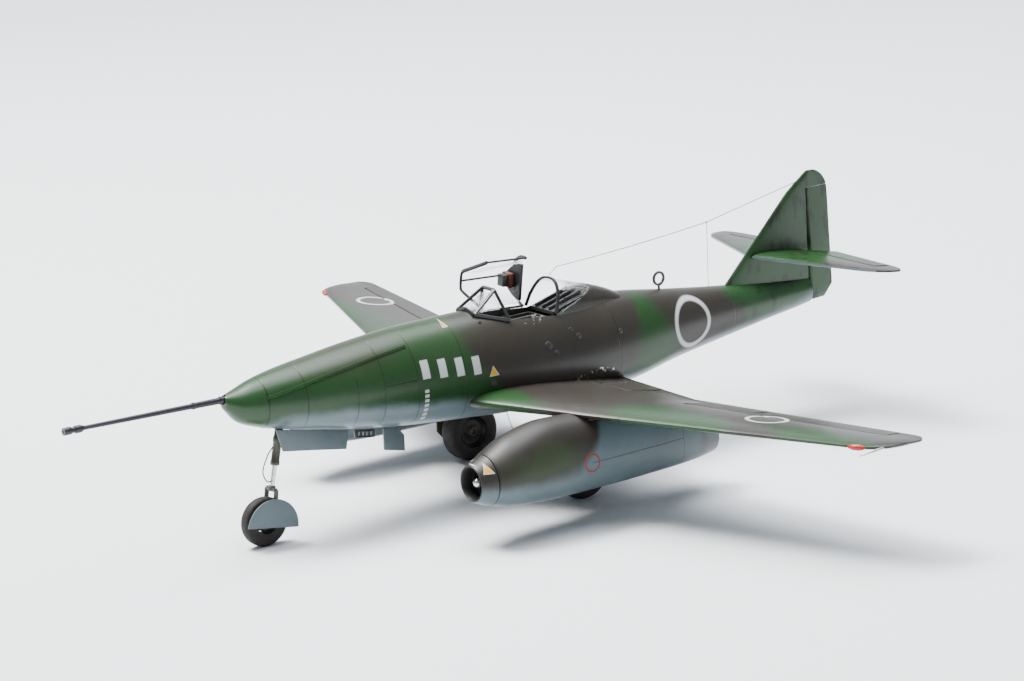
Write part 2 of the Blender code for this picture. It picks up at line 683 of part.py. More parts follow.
def fin_edges(z):
    """Leading and trailing edges of the fin and rudder at a height."""
    lead = FIN_ROOT_Y + (z - 2.127) * 1.035
    trail = TAIL_END_Y - 0.055 * (z - 1.75)
    rounding = max(0.0, (z - (FIN_TOP - 0.33)) / 0.33)
    if rounding > 0:
        bulge = 1 - math.sqrt(max(0.0, 1 - rounding ** 2))
        top_y = trail - 0.33
        lead, trail = lead + (top_y - lead) * bulge, trail + (top_y - trail) * bulge
    if z < 1.78:
        trail = min(trail, TAIL_END_Y - (1.78 - z) * 0.9)
    return lead, trail


def rudder_hinge_y(z):
    """Where the rudder's hinge axis lies at a height."""
    return HINGE_Y - RUDDER_LEAN * (z - 1.7) / (RUDDER_TOP - 1.7)


def fin_thickness(z):
    """Thickness of the fin at a height, which tapers upwards."""
    return FIN_THICKNESS * (1.25 - 0.6 * (z - 1.7) / (FIN_TOP - 1.7))


def fin_ring(z, count=8):
    """Closed ring of the fin at a height."""
    lead, trail = fin_edges(z)
    length = trail - lead
    shares = chord_shares(count)
    sides = [max(half_thickness(s, 1.0) * fin_thickness(z), EDGE / 2) for s in shares]
    ring = [(t, lead + length * s, z) for s, t in zip(shares, sides)]
    return ring + [(-t, y, h) for t, y, h in reversed(ring[1:])]


def make_fin():
    """Fixed fin on the body, and the rudder hinged behind it."""
    heights = [1.72, 2.0, 2.25, 2.5, 2.8, 3.1, 3.22, 3.34, 3.43, 3.50, FIN_TOP - 0.012]
    fin = loft("fin", [fin_ring(z) for z in heights], "green")
    combine(fin, body_cutter("body under the fin", GAP, FIN_ROOT_Y - 0.8, TAIL_END_Y + 0.1, 12))
    foot, head = 1.60, RUDDER_TOP
    room = 0.062
    outline = [(0.4, rudder_hinge_y(foot) - room, 1.2), (0.4, rudder_hinge_y(head) - room, head + GAP),
               (0.4, TAIL_END_Y + 0.5, head + GAP), (0.4, TAIL_END_Y + 0.5, 1.2)]
    notch = prism("rudder notch", outline, (-0.8, 0, 0))
    combine(fin, notch)
    for name in ("fuselage_left", "fuselage_right"):
        combine(bpy.data.objects[name], notch)
    rings = []
    for z in (foot, 1.78, 2.2, 2.7, 3.05, head - GAP):
        lead, trail = fin_edges(z)
        hinge = Vector((0, rudder_hinge_y(z), z))
        radius = 0.052 - 0.02 * (z - foot) / (head - foot)
        ring = []
        for i in range(7):
            angle = math.pi / 2 + math.pi * i / 6
            ring.append((math.sin(angle) * radius, hinge.y + math.cos(angle) * radius, z))
        rings.append(ring + [(-EDGE / 2, trail, z), (EDGE / 2, trail, z)])
    loft("rudder", rings, "green", pivot=(0, rudder_hinge_y(foot), foot))


def tailplane_chord(x):
    """Leading and trailing edge points of the tailplane at x."""
    out = abs(x)
    lead_y = TAILPLANE_Y + TAILPLANE_SWEEP * out
    trail_y = TAILPLANE_Y + TAILPLANE_CHORD - 0.10 * out
    rounding = max(0.0, (out - (TAILPLANE_HALF_SPAN - 0.30)) / 0.30)
    if rounding > 0:
        bulge = 1 - math.sqrt(max(0.0, 1 - min(rounding, 1.0) ** 2))
        tip_y = lead_y + (trail_y - lead_y) * 0.70
        lead_y, trail_y = lead_y + (tip_y - lead_y) * bulge, trail_y + (tip_y - trail_y) * bulge * 0.9
    level = TAILPLANE_Z + TAILPLANE_NOSE_UP * TAILPLANE_CHORD / 2
    heights = [level - TAILPLANE_NOSE_UP * (y - TAILPLANE_Y) for y in (lead_y, trail_y)]
    return Vector((x, lead_y, heights[0])), Vector((x, trail_y, heights[1]))


def tailplane_ring(x, count=8):
    """Closed ring of the tailplane at x."""
    lead, trail = tailplane_chord(x)
    chord = trail - lead
    thickness = 0.09
    shares = chord_shares(count)
    depths = [max(half_thickness(s, thickness) * chord.length, EDGE / 2) for s in shares]
    upper = [lead + chord * s + Vector((0, 0, d)) for s, d in zip(shares, depths)]
    lower = [lead + chord * s - Vector((0, 0, d)) for s, d in zip(shares, depths)]
    return upper + list(reversed(lower[1:]))


ELEVATOR_INNER = 0.13
ELEVATOR_OUTER = 1.56
ELEVATOR_CUTBACK = 0.20             # room for the rudder at the elevators' inner ends


def elevator_hinge(x):
    """The elevator's hinge axis at x."""
    y = TAILPLANE_Y + TAILPLANE_CHORD * ELEVATOR_SHARE
    level = TAILPLANE_Z + TAILPLANE_NOSE_UP * TAILPLANE_CHORD / 2
    return Vector((x, y, level - TAILPLANE_NOSE_UP * (y - TAILPLANE_Y)))


def make_tailplane():
    """Two tailplanes standing against the fin, and the elevators hinged behind them."""
    fin_side = half_thickness(0.3, 1.0) * fin_thickness(TAILPLANE_Z) + GAP
    for sign, side in ((1, "left"), (-1, "right")):
        places = [fin_side, 0.5, 0.9, 1.3, 1.62, 1.74, 1.83, 1.89, TAILPLANE_HALF_SPAN - 0.004]
        plane = loft(f"tailplane_{side}", [tailplane_ring(sign * x) for x in places], "brown")
        radius_in, radius_out = 0.042, 0.030
        hinge_y = elevator_hinge(0).y
        notch = prism("elevator notch",
                      [(sign * (ELEVATOR_INNER - 0.2), hinge_y - radius_in - RUNNING_GAP, 2.0),
                       (sign * (ELEVATOR_OUTER + GAP), hinge_y - radius_in - RUNNING_GAP, 2.0),
                       (sign * (ELEVATOR_OUTER + GAP), TAIL_END_Y + 0.3, 2.0),
                       (sign * (ELEVATOR_INNER - 0.2), TAIL_END_Y + 0.3, 2.0)], (0, 0, 0.8))
        combine(plane, notch)
        rings = []
        for x, radius in ((ELEVATOR_INNER, radius_in), (ELEVATOR_OUTER, radius_out)):
            _, trail = tailplane_chord(sign * x)
            ring = strip_ring(elevator_hinge(sign * x), radius, trail)
            if x == ELEVATOR_INNER:
                ring = [Vector((p.x + sign * ELEVATOR_CUTBACK * max(0.0, (p.y - hinge_y)) / 0.45, p.y, p.z))
                        for p in ring]
            rings.append(ring)
        loft(f"elevator_{side}", rings, "brown", pivot=elevator_hinge(sign * ELEVATOR_INNER))


# ==== cockpit and canopy =======================================================================
BAR_Y = CABIN_Y + 0.54              # top bar of the windscreen
ARCH_Y = CABIN_Y + 0.62             # feet of its rear arch
CANOPY_HALF_WIDTH = 0.345
SHOULDER_X, SHOULDER_Z = 0.13, 2.79
BAR_STAND = FRAME_BAR / 2 + GAP     # middle of a frame bar above the skin it stands on
CANOPY_FRONT = ARCH_Y + 0.075
CANOPY_REAR = HOOP_Y - 0.06
FRONT_LEAN, REAR_LEAN = -0.10, 0.16  # how far the top of a bow stands off from its feet
HOOD_TOP_Z = 2.765
HOOD_END_Y = CABIN_Y + 2.12
OPEN_ANGLE = math.radians(85)
# bows as shares of the half width and of the rise, from the port foot to the top
FRONT_BOW = ((1.0, 0.0), (0.70, 0.47), (0.43, 0.90), (0.31, 0.985), (0.0, 1.0))
REAR_BOW = ((1.0, 0.0), (0.90, 0.42), (0.65, 0.78), (0.34, 0.96), (0.0, 1.0))


def bow(shape, foot_y, lean, half_width, foot_z, top_z):
    """Points of a bow from the starboard foot over the top to the port foot."""
    port = [(half_width * across, foot_y + lean * up, foot_z + (top_z - foot_z) * up) for across,
            up in shape]
    starboard = [(-x, y, z) for x, y, z in port[:-1]]
    return starboard + port[::-1]


def polygons_mesh(name, polygons):
    """A mesh of polygons that share the corners where they meet."""
    bm = bmesh.new()
    known = {}
    for polygon in polygons:
        corners = []
        for point in polygon:
            key = tuple(round(value, 4) for value in point)
            if key not in known:
                known[key] = bm.verts.new(point)
            corners.append(known[key])
        bm.faces.new(corners)
    return as_mesh(name, bm)


def wire_frame(name, polygons, thickness, finish, pivot=None):
    """Bars along the edges of a set of polygons."""
    piece = place(name, polygons_mesh(name, polygons), finish, pivot)
    bars = piece.modifiers.new("bars", "WIREFRAME")
    bars.thickness = thickness * SCALE
    bars.use_boundary = True
    bars.use_replace = True
    bars.use_even_offset = True
    return piece


def sheet(name, polygons, thickness, finish, pivot=None):
    """Thin wall on a set of polygons."""
    piece = place(name, polygons_mesh(name, polygons), finish, pivot)
    wall = piece.modifiers.new("wall", "SOLIDIFY")
    wall.thickness = thickness * SCALE
    wall.offset = 0.0
    wall.use_even_offset = True
    return piece


def make_windscreen():
    """Three flat panes in a bar frame, leaning back from the body."""
    foot_z = skin_z(ARCH_Y, CANOPY_HALF_WIDTH) + BAR_STAND
    front_z = skin_z(CABIN_Y + 0.14, 0.20) + BAR_STAND

    def panes(inset):
        top = [(s * (SHOULDER_X - inset * 0.5), BAR_Y - inset * 0.1, SHOULDER_Z - inset * 1.3) for s in (1,
                                                                                                         -1)]
        front = [(s * (0.20 - inset * 0.5), CABIN_Y + 0.14 + inset * 1.3, front_z) for s in (1, -1)]
        front.insert(1, (0.0, CABIN_Y + 0.13 + inset * 1.3, skin_z(CABIN_Y + 0.13, 0.0) + BAR_STAND))
        feet = [(s * (CANOPY_HALF_WIDTH - inset * 1.1), ARCH_Y - inset * 0.3, foot_z) for s in (1, -1)]
        return [[top[0], *front, top[1]], [top[0], feet[0], front[0]], [top[1], front[2], feet[1]]]

    wire_frame("windscreen_frame", panes(0.0), FRAME_BAR, "primer_grey")
    sheet("windscreen_glass", panes(FRAME_BAR / 2 + GAP + GLASS_WALL), GLASS_WALL, "glass")


def hinge_line():
    """Front and rear ends of the canopy's hinge, along its starboard rail."""
    return [Vector((-CANOPY_HALF_WIDTH, y, skin_z(y, CANOPY_HALF_WIDTH) + BAR_STAND))
            for y in (CANOPY_FRONT, CANOPY_REAR)]


def open_turn(points):
    """Swing points of the closed canopy open about its starboard hinge."""
    front, rear = hinge_line()
    swing = Matrix.Rotation(-OPEN_ANGLE, 4, (rear - front).normalized())
    return [front + swing @ (Vector(point) - front) for point in points]


def make_canopy():
    """Hinged centre canopy, standing open: frame, clear panels and head armour."""
    front_hinge, rear_hinge = hinge_line()
    pivot = (front_hinge + rear_hinge) / 2

    def bows(inset):
        half = CANOPY_HALF_WIDTH - inset
        front = bow(FRONT_BOW, CANOPY_FRONT + inset, FRONT_LEAN, half, front_hinge.z,
                    SHOULDER_Z + 0.005 - inset)
        rear = bow(REAR_BOW, CANOPY_REAR - inset, REAR_LEAN, half, rear_hinge.z, HOOD_TOP_Z - inset)
        return open_turn(front), open_turn(rear)

    front, rear = bows(0.0)
    middle = len(front) // 2
    halves = [front[:middle + 1] + rear[:middle + 1][::-1], front[middle:] + rear[middle:][::-1]]
    wire_frame("canopy_frame", halves, FRAME_BAR, "primer_grey", pivot=pivot)
    front, rear = bows(FRAME_BAR / 2 + GAP + GLASS_WALL)
    strips = [[front[i], front[i + 1], rear[i + 1], rear[i]] for i in range(len(front) - 1)]
    sheet("canopy_glass", strips, GLASS_WALL, "glass", pivot=pivot)
    make_head_armour(rear_hinge, pivot)


def make_head_armour(rear_hinge, pivot):
    """Armour plate inside the rear of the canopy, with the headrest on its front."""
    armour_y, foot_z = CANOPY_REAR - 0.07, rear_hinge.z
    port = [(0.26, 0.00), (0.25, 0.08), (0.21, 0.17), (0.15, 0.25), (0.09, 0.31)]
    port = [(x, armour_y, foot_z + z) for x, z in port]
    outline = port + [(-x, y, z) for x, y, z in reversed(port)]
    turned_back = open_turn([(0, 0, 0), (0, DOOR_SHEET * 1.6, 0)])
    armour = prism("head_armour", open_turn(outline), turned_back[1] - turned_back[0], "black", pivot=pivot)
    rest = [(x, armour_y + DOOR_SHEET, foot_z + z) for x, z in ((0.085, 0.15), (0.085, 0.30), (-0.085, 0.30),
                                                                 (-0.085, 0.15))]
    forward = open_turn([(0, 0, 0), (0, -0.15, 0)])
    combine(armour, prism("headrest", open_turn(rest), forward[1] - forward[0]), "UNION")


def hood_rings(inset, stations):
    """Sections of the fixed rear canopy and the fairing behind it."""
    rings = []
    for y in stations:
        share = (y - HOOP_Y) / (HOOD_END_Y - HOOP_Y)
        top = HOOD_TOP_Z - 0.215 * share - 0.12 * max(0.0, share - 1) ** 2
        half = CANOPY_HALF_WIDTH - 0.03 * share - 0.03 * share ** 2 - inset
        foot = SILL_Z - 0.03
        points = bow(REAR_BOW, y, REAR_LEAN, half, foot, top - inset)
        skirt = 0.25
        low_y = y - REAR_LEAN * skirt / (HOOD_TOP_Z - foot)
        low = [(side * half, low_y, foot - skirt) for side in (1, -1)]
        rings.append(points + low)
    return rings


def make_rear_hood():
    """Hoop and clear rear canopy, and the solid fairing that closes it behind."""
    start = HOOP_Y + FRAME_BAR / 2 + GAP
    stations = [start + (HOOD_END_Y + 0.55 - start) * i / 8 for i in range(9)]
    low_y, slope = HOOP_Y + 0.13, 0.33

    def wedge(name, shift, upward):
        """Everything above, or below, the slanted plane that parts glass and fairing."""
        near, far = low_y - 2.0, low_y + 3.0
        heights = [SILL_Z + shift + slope * (y - low_y) for y in (near, far)]
        level = 4.5 if upward else 0.5
        outline = [(-1.0, near, heights[0]), (-1.0, far, heights[1]), (-1.0, far, level),
                   (-1.0, near, level)]
        return prism(name, outline, (2.0, 0, 0))

    glass = loft("rear_hood_glass", hood_rings(0.0, stations), "glass")
    inner_stations = [start - 0.2] + stations[1:-1] + [stations[-1] - 0.05]
    combine(glass, loft("hood cavity", hood_rings(GLASS_WALL, inner_stations)))
    combine(glass, wedge("under the hood glass", GAP, False))
    trim = body_cutter("body under the hood", GAP, CABIN_Y, WAIST_Y + 1.5)
    combine(glass, trim)
    fairing = loft("rear_fairing", hood_rings(0.0, stations), "brown")
    combine(fairing, wedge("over the fairing", 0.0, True))
    combine(fairing, trim)
    foot_z = skin_z(HOOP_Y, CANOPY_HALF_WIDTH) + BAR_STAND
    tube("rear_hood_frame", bow(REAR_BOW, HOOP_Y, REAR_LEAN, CANOPY_HALF_WIDTH, foot_z, HOOD_TOP_Z),
         FRAME_BAR / 2, "primer_grey", resolution=1)


def make_cockpit():
    """Tub with its floor, seat, instrument panel with a sight, and control stick."""
    front, rear, half = ARCH_Y - 0.42, HOOP_Y + 0.02, 0.285
    floor, rim = 1.80, SILL_Z - 0.07
    tub = box("cockpit_tub", (-half, front, floor), (half, rear, rim), "black")
    inner = box("tub inside", (-half + 0.035, front + 0.035, floor + 0.045),
                (half - 0.035, rear - 0.035, rim + 0.3))
    combine(tub, inner)
    seat = box("seat", (-0.17, rear - 0.50, floor + 0.045 + GAP), (0.17, rear - 0.05, rim - 0.02), "olive")
    combine(seat, box("seat inside", (-0.145, rear - 0.55, floor + 0.17), (0.145, rear - 0.085, rim + 0.1)))
    panel_y = front + 0.16
    panel = box("instrument_panel", (-0.235, panel_y, rim - 0.23), (0.235, panel_y + 0.04, rim + 0.05),
                "black")
    combine(panel, box("gun sight", (-0.03, panel_y + 0.005, rim + 0.02),
                       (0.03, panel_y + 0.035, rim + 0.16)),
            "UNION")
    stick_y = (front + rear) / 2 - 0.06
    rod("control_stick", (0, stick_y, floor + 0.045 + GAP), (0, stick_y - 0.03, floor + 0.32), 0.014,
        "black",
        sides=10)


# ==== aerials ==================================================================================
def make_aerials():
    """Direction-finding loop on the spine, and the wire from the hood to the fin."""
    loop_y = WAIST_Y + 0.78
    top = body_section(loop_y).top
    centre = top + 0.155
    rim_profile = [(0.016, 0.074), (-0.016, 0.074), (-0.016, 0.106), (0.016, 0.106)]
    rim = turned("df_loop", rim_profile, (0, loop_y, centre), (1, 0, 0), "black", sides=20)
    combine(rim, rod("loop stem", (0, loop_y, top + GAP), (0, loop_y, centre - 0.085), 0.02, sides=10),
            "UNION")
    drop_y = WAIST_Y + 1.70
    fin_z = FIN_TOP - 0.15
    fin_lead, _ = fin_edges(fin_z)
    knee = Vector((0.0, drop_y, 3.08))
    apex_y = HOOP_Y + REAR_LEAN
    foot = Vector((0, apex_y, HOOD_TOP_Z + FRAME_BAR / 2 + GAP))
    bend = Vector((0, apex_y + 0.14, foot.z + 0.10))
    span = knee - bend
    sag = [bend + span * share + Vector((0, 0, -0.09 * share * (1 - share))) for share in (0.05, 0.35, 0.65)]
    wire = tube("aerial_wire", [foot, bend, *sag, knee, (0, fin_lead - GAP * 1.2, fin_z)], WIRE_RADIUS,
                "black", resolution=1)
    drop = rod("aerial drop", (0, drop_y, body_section(drop_y).top + GAP), knee, WIRE_RADIUS * 0.7, sides=6)
    combine(wire, drop, "UNION")


# ==== undercarriage ============================================================================
def wheel(name, centre, radius, width, rim_radius, sides=24):
    """Tyre and hub of one wheel; the tyre's facets put a flat on the ground."""
    facet = 1 / math.cos(math.pi / sides)
    x, y, z = centre
    half = width / 2
    profile = [(-half * 0.62, rim_radius), (-half, rim_radius + 0.05), (-half, radius * 0.80),
               (-half * 0.80, radius * 0.93 * facet), (-half * 0.45, radius * facet),
               (half * 0.45, radius * facet),
               (half * 0.80, radius * 0.93 * facet), (half, radius * 0.80), (half, rim_radius + 0.05),
               (half * 0.62, rim_radius)]
    turned(f"{name}_tyre", profile, centre, (1, 0, 0), "tyre", pivot=centre, sides=sides)
    hub_radius = rim_radius - GAP / facet
    bore = 0.035
    hub = [(-half * 0.62, bore), (-half * 0.62, hub_radius * 0.45), (-half * 0.40, hub_radius * 0.80),
           (-half * 0.70, hub_radius), (half * 0.70, hub_radius), (half * 0.40, hub_radius * 0.80),
           (half * 0.62, hub_radius * 0.45), (half * 0.62, bore)]
    turned(f"{name}_hub", hub, centre, (1, 0, 0), "black", pivot=centre, sides=20)


AXLE_RADIUS = 0.035 - RUNNING_GAP
NOSE_AXLE = (0.0, 0.50, NOSE_WHEEL_RADIUS)
NOSE_LEG_FOOT = Vector((0.0, 0.66, 0.80))
NOSE_LEG_HEAD = Vector((0.0, 0.86, 1.72))
LEG_RADIUS = 0.055                  # cylinders of the main legs


def make_nose_gear():
    """Nose leg, castoring fork with its wheel and mudguard, and the bay doors."""
    along = (NOSE_LEG_HEAD - NOSE_LEG_FOOT).normalized()
    knee = NOSE_LEG_FOOT + along * 0.26
    leg = rod("nose_leg", NOSE_LEG_FOOT, NOSE_LEG_HEAD, 0.032, "steel", sides=16)
    combine(leg, rod("upper leg", knee, NOSE_LEG_HEAD, 0.058, sides=16), "UNION")
    combine(leg, rod("leg trunnion", (-NOSE_BAY[2] + GAP, *NOSE_LEG_HEAD.yz),
                     (NOSE_BAY[2] - GAP, *NOSE_LEG_HEAD.yz),
                     0.04, sides=12), "UNION")
    crown = NOSE_LEG_FOOT - along * (GAP * 1.1)
    arm_x = NOSE_WHEEL_WIDTH / 2 + 0.028
    fork = rod("nose_fork", crown - along * 0.07, crown, 0.05, "olive", pivot=crown, sides=16)
    bridge = crown - along * 0.045
    combine(fork, rod("fork bridge", bridge - Vector((arm_x, 0, 0)), bridge + Vector((arm_x, 0, 0)), 0.030,
                      sides=12),
            "UNION")
    axle = Vector(NOSE_AXLE)
    for sign in (1, -1):
        top = bridge + Vector((sign * arm_x, 0, 0))
        foot = axle + Vector((sign * arm_x, 0, 0))
        combine(fork, rod("fork arm", top, foot, 0.024, sides=12), "UNION")
    reach = Vector((arm_x + 0.02, 0, 0))
    combine(fork, rod("nose axle", axle - reach, axle + reach, AXLE_RADIUS, sides=16), "UNION")
    wheel("nose", NOSE_AXLE, NOSE_WHEEL_RADIUS, NOSE_WHEEL_WIDTH, 0.15)
    make_mudguard(arm_x)
    make_nose_doors()


def make_mudguard(arm_x):
    """Half-round guard plate on the port side of the nose wheel."""
    centre = Vector((0, NOSE_AXLE[1] + 0.035, NOSE_AXLE[2] - 0.06))
    radius, tilt, steps = NOSE_WHEEL_RADIUS + 0.055, math.radians(10), 14
    x = arm_x + 0.024 + GAP
    outline = []
    for i in range(steps + 1):
        angle = -tilt + math.pi * i / steps
        outline.append((x, centre.y + radius * math.cos(angle), centre.z + radius * math.sin(angle)))
    prism("nose_mudguard", outline, (DOOR_SHEET, 0, 0), "blue_grey", pivot=NOSE_LEG_FOOT)


def make_nose_doors():
    """Three plates hanging from the port edge of the nose bay."""
    x = NOSE_BAY[2] + 0.02
    plates = (
        ("nose_leg_door", 0.66, 1.78, ((0.0, 0.0), (1.0, 0.0), (0.955, -0.26), (0.50, -0.27),
                                       (0.08, -0.29))),
        ("ejector_plate", 1.87, 2.19, ((0.0, 0.0), (1.0, 0.0), (0.98, -0.11), (0.02, -0.11))),
        ("nose_wheel_door", 2.33, 2.66, ((0.0, 0.0), (0.72, 0.0), (1.0, -0.11), (1.0, -0.33), (0.0, -0.30))),
    )
    for name, front, rear, shape in plates:
        outline = []
        for along, down in shape:
            y = front + (rear - front) * along
            outline.append((x, y, skin_z(y, x, top=False) - GAP + down))
        prism(name, outline, (DOOR_SHEET, 0, 0), "primer_grey" if "ejector" in name else "blue_grey")


def make_main_gear():
    """For each side: leg with its axle, wheel and leg door."""
    leg_x = MAIN_TRACK / 2 + MAIN_WHEEL_WIDTH / 2 + LEG_RADIUS + RUNNING_GAP
    leg_top = 1.235
    for sign, side in ((1, "left"), (-1, "right")):
        centre = (sign * MAIN_TRACK / 2, WHEEL_Y, MAIN_WHEEL_RADIUS)
        wheel(f"main_{side}", centre, MAIN_WHEEL_RADIUS, MAIN_WHEEL_WIDTH, 0.22)
        x = sign * leg_x
        leg = rod(f"main_leg_{side}", (x, WHEEL_Y, MAIN_WHEEL_RADIUS - 0.03), (x, WHEEL_Y + 0.05, leg_top),
                  0.042,
                  "olive", sides=16)
        combine(leg, rod("leg cylinder", (x, WHEEL_Y + 0.02, MAIN_WHEEL_RADIUS + 0.34),
                         (x, WHEEL_Y + 0.05, leg_top),
                         LEG_RADIUS, sides=16), "UNION")
        inner_end = sign * (MAIN_TRACK / 2 - MAIN_WHEEL_WIDTH / 2 * 0.5)
        combine(leg, rod("main axle", (inner_end, WHEEL_Y, MAIN_WHEEL_RADIUS),
                         (x, WHEEL_Y, MAIN_WHEEL_RADIUS),
                         AXLE_RADIUS, sides=16), "UNION")
        door_x = x + sign * (LEG_RADIUS + GAP)
        outline = [(door_x, WHEEL_Y - 0.34, 1.17), (door_x, WHEEL_Y + 0.30, 1.15),
                   (door_x, WHEEL_Y + 0.26, 0.50),
                   (door_x, WHEEL_Y + 0.10, 0.28), (door_x, WHEEL_Y - 0.24, 0.28),
                   (door_x, WHEEL_Y - 0.36, 0.42)]
        prism(f"main_leg_door_{side}", outline, (sign * DOOR_SHEET, 0, 0), "blue_grey")


make_body_halves()
make_nose()
make_gun()
make_wing()
make_nacelles()
make_fin()
make_tailplane()
make_windscreen()
make_canopy()
make_rear_hood()
make_cockpit()
make_aerials()
make_nose_gear()
make_main_gear()
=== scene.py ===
"""Looks of a swept-wing twin-jet fighter model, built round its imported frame.

Shapes are written in the full-size aircraft's metres: x to the port side, y rearwards from the
nose tip, z up from the ground. to_model() brings them to the model's own size and place.
"""

import logging
import math
from dataclasses import dataclass, field
from enum import Enum
from typing import Iterable, Optional, Sequence

import bmesh
import bpy
import numpy as np
from mathutils import Matrix, Vector


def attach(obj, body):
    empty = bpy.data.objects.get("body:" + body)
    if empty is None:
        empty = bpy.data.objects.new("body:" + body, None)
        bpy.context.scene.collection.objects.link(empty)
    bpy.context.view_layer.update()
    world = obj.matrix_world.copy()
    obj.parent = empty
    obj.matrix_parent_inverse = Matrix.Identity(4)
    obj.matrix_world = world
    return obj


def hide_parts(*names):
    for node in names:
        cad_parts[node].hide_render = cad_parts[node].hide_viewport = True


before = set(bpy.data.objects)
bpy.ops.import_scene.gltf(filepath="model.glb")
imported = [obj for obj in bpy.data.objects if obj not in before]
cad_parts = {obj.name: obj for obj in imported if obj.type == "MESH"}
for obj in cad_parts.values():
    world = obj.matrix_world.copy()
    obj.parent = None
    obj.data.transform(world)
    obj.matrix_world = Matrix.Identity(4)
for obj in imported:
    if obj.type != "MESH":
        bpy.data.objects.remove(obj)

SCALE: float = 1.0 / 48.0
MIDDLE_Y: float = 4.145
GAP: float = 0.0003 / SCALE
LOG = logging.getLogger("fighter")

Point = Sequence[float]
Socket, Node, Tree = bpy.types.NodeSocket, bpy.types.Node, bpy.types.NodeTree
Piece, Material = bpy.types.Object, bpy.types.Material


# ==== sizes of the aircraft ====================================================================
CABIN_Y, WAIST_Y, BODY_END_Y, TAIL_END_Y = 3.75, 6.50, 10.45, 10.60
HALF_SPAN, BODY_SIDE_X, WING_Y = 6.255, 0.60, 3.474
ROOT_CHORD, TIP_CHORD, WING_SWEEP = 2.72, 0.88, 0.373
NACELLE_X, NACELLE_Y, NACELLE_Z = 2.06, 2.39, 0.878
NACELLE_LENGTH, NACELLE_HALF_WIDTH, NACELLE_DROP = 3.95, 0.45, 0.032
FIN_TOP, EDGE = 3.55, 0.0288
SKIN_WALL, FRAME_BAR, GLASS_WALL = 0.0576, 0.0336, 0.024
SILL_Z, ARCH_Y, HOOP_Y = 2.335, 4.37, 5.165
CANOPY_HALF_WIDTH, CANOPY_FRONT, CANOPY_REAR = 0.345, 4.445, 5.105
HOOD_TOP_Z, HOOD_END_Y, REAR_LEAN = 2.765, 5.87, 0.16
OPEN_ANGLE = math.radians(85)

# place, top, bottom, half width, waist, squareness of the body's cross-sections
BODY_SECTIONS: tuple[tuple[float, ...], ...] = (
    (0.0000, 2.125, 1.950, 0.090, 2.040, 2.00), (0.1875, 2.176, 1.740, 0.215, 1.962, 2.00),
    (0.4313, 2.254, 1.632, 0.305, 1.931, 2.00), (0.7613, 2.325, 1.534, 0.385, 1.902, 2.00),
    (1.3013, 2.400, 1.430, 0.465, 1.857, 2.05), (1.9988, 2.485, 1.302, 0.545, 1.801, 2.15),
    (2.8013, 2.545, 1.191, 0.600, 1.748, 2.25), (3.7500, 2.556, 1.108, 0.630, 1.687, 2.35),
    (4.5008, 2.520, 1.053, 0.640, 1.637, 2.45), (5.4990, 2.450, 1.041, 0.615, 1.606, 2.45),
    (6.5000, 2.369, 1.079, 0.540, 1.621, 2.30), (7.4006, 2.239, 1.219, 0.430, 1.678, 2.10),
    (8.3012, 2.119, 1.333, 0.320, 1.726, 2.00), (9.2690, 2.012, 1.460, 0.215, 1.736, 2.00),
    (10.0985, 1.926, 1.562, 0.120, 1.744, 2.00), (10.4500, 1.890, 1.640, 0.070, 1.765, 2.00),
)
FRONT_BOW = ((1.0, 0.0), (0.70, 0.47), (0.43, 0.90), (0.31, 0.985), (0.0, 1.0))
REAR_BOW = ((1.0, 0.0), (0.90, 0.42), (0.65, 0.78), (0.34, 0.96), (0.0, 1.0))


class Side(Enum):
    """The two sides of the aircraft, with the sign of x on each."""

    PORT = 1
    STARBOARD = -1

    @property
    def word(self) -> str:
        """The word used in piece names."""
        return "left" if self is Side.PORT else "right"


def to_model(points: Iterable[Point]) -> np.ndarray:
    """Bring full-size points to the model's size and place.

    Args:
        points: Points in full-size metres.

    Returns:
        The same points in model metres, one row each.
    """
    rows = np.asarray(list(points) if not isinstance(points, np.ndarray) else points, dtype=float)
    return (rows.reshape(-1, 3) - (0.0, MIDDLE_Y, 0.0)) * SCALE


def smooth_curve(knots: Sequence[float], values: Sequence[float], at: np.ndarray) -> np.ndarray:
    """Read a monotone cubic curve through knots.

    Args:
        knots: Rising places of the knots.
        values: The curve's value at each knot.
        at: Places to read.

    Returns:
        The curve's values at those places.
    """
    x, y, at = np.asarray(knots, float), np.asarray(values, float), np.asarray(at, float)
    steps = np.diff(x)
    slopes = np.diff(y) / steps
    tangents = np.zeros_like(y)
    tangents[0], tangents[-1] = slopes[0], slopes[-1]
    for i in range(1, len(y) - 1):
        if slopes[i - 1] * slopes[i] > 0:
            before, after = 2 * steps[i] + steps[i - 1], steps[i] + 2 * steps[i - 1]
            tangents[i] = (before + after) / (before / slopes[i - 1] + after / slopes[i])
    index = np.clip(np.searchsorted(x, at) - 1, 0, len(steps) - 1)
    t, width = (at - x[index]) / steps[index], steps[index]
    return (y[index] * (1 + 2 * t) * (1 - t) ** 2 + tangents[index] * width * t * (1 - t) ** 2
            + y[index + 1] * t * t * (3 - 2 * t) + tangents[index + 1] * width * t * t * (t - 1))


def body_values(y: float) -> tuple[float, ...]:
    """Top, bottom, half width, waist and squareness of the body at a place along it."""
    columns = list(zip(*BODY_SECTIONS))
    return tuple(float(smooth_curve(columns[0], column, np.array(y))) for column in columns[1:])


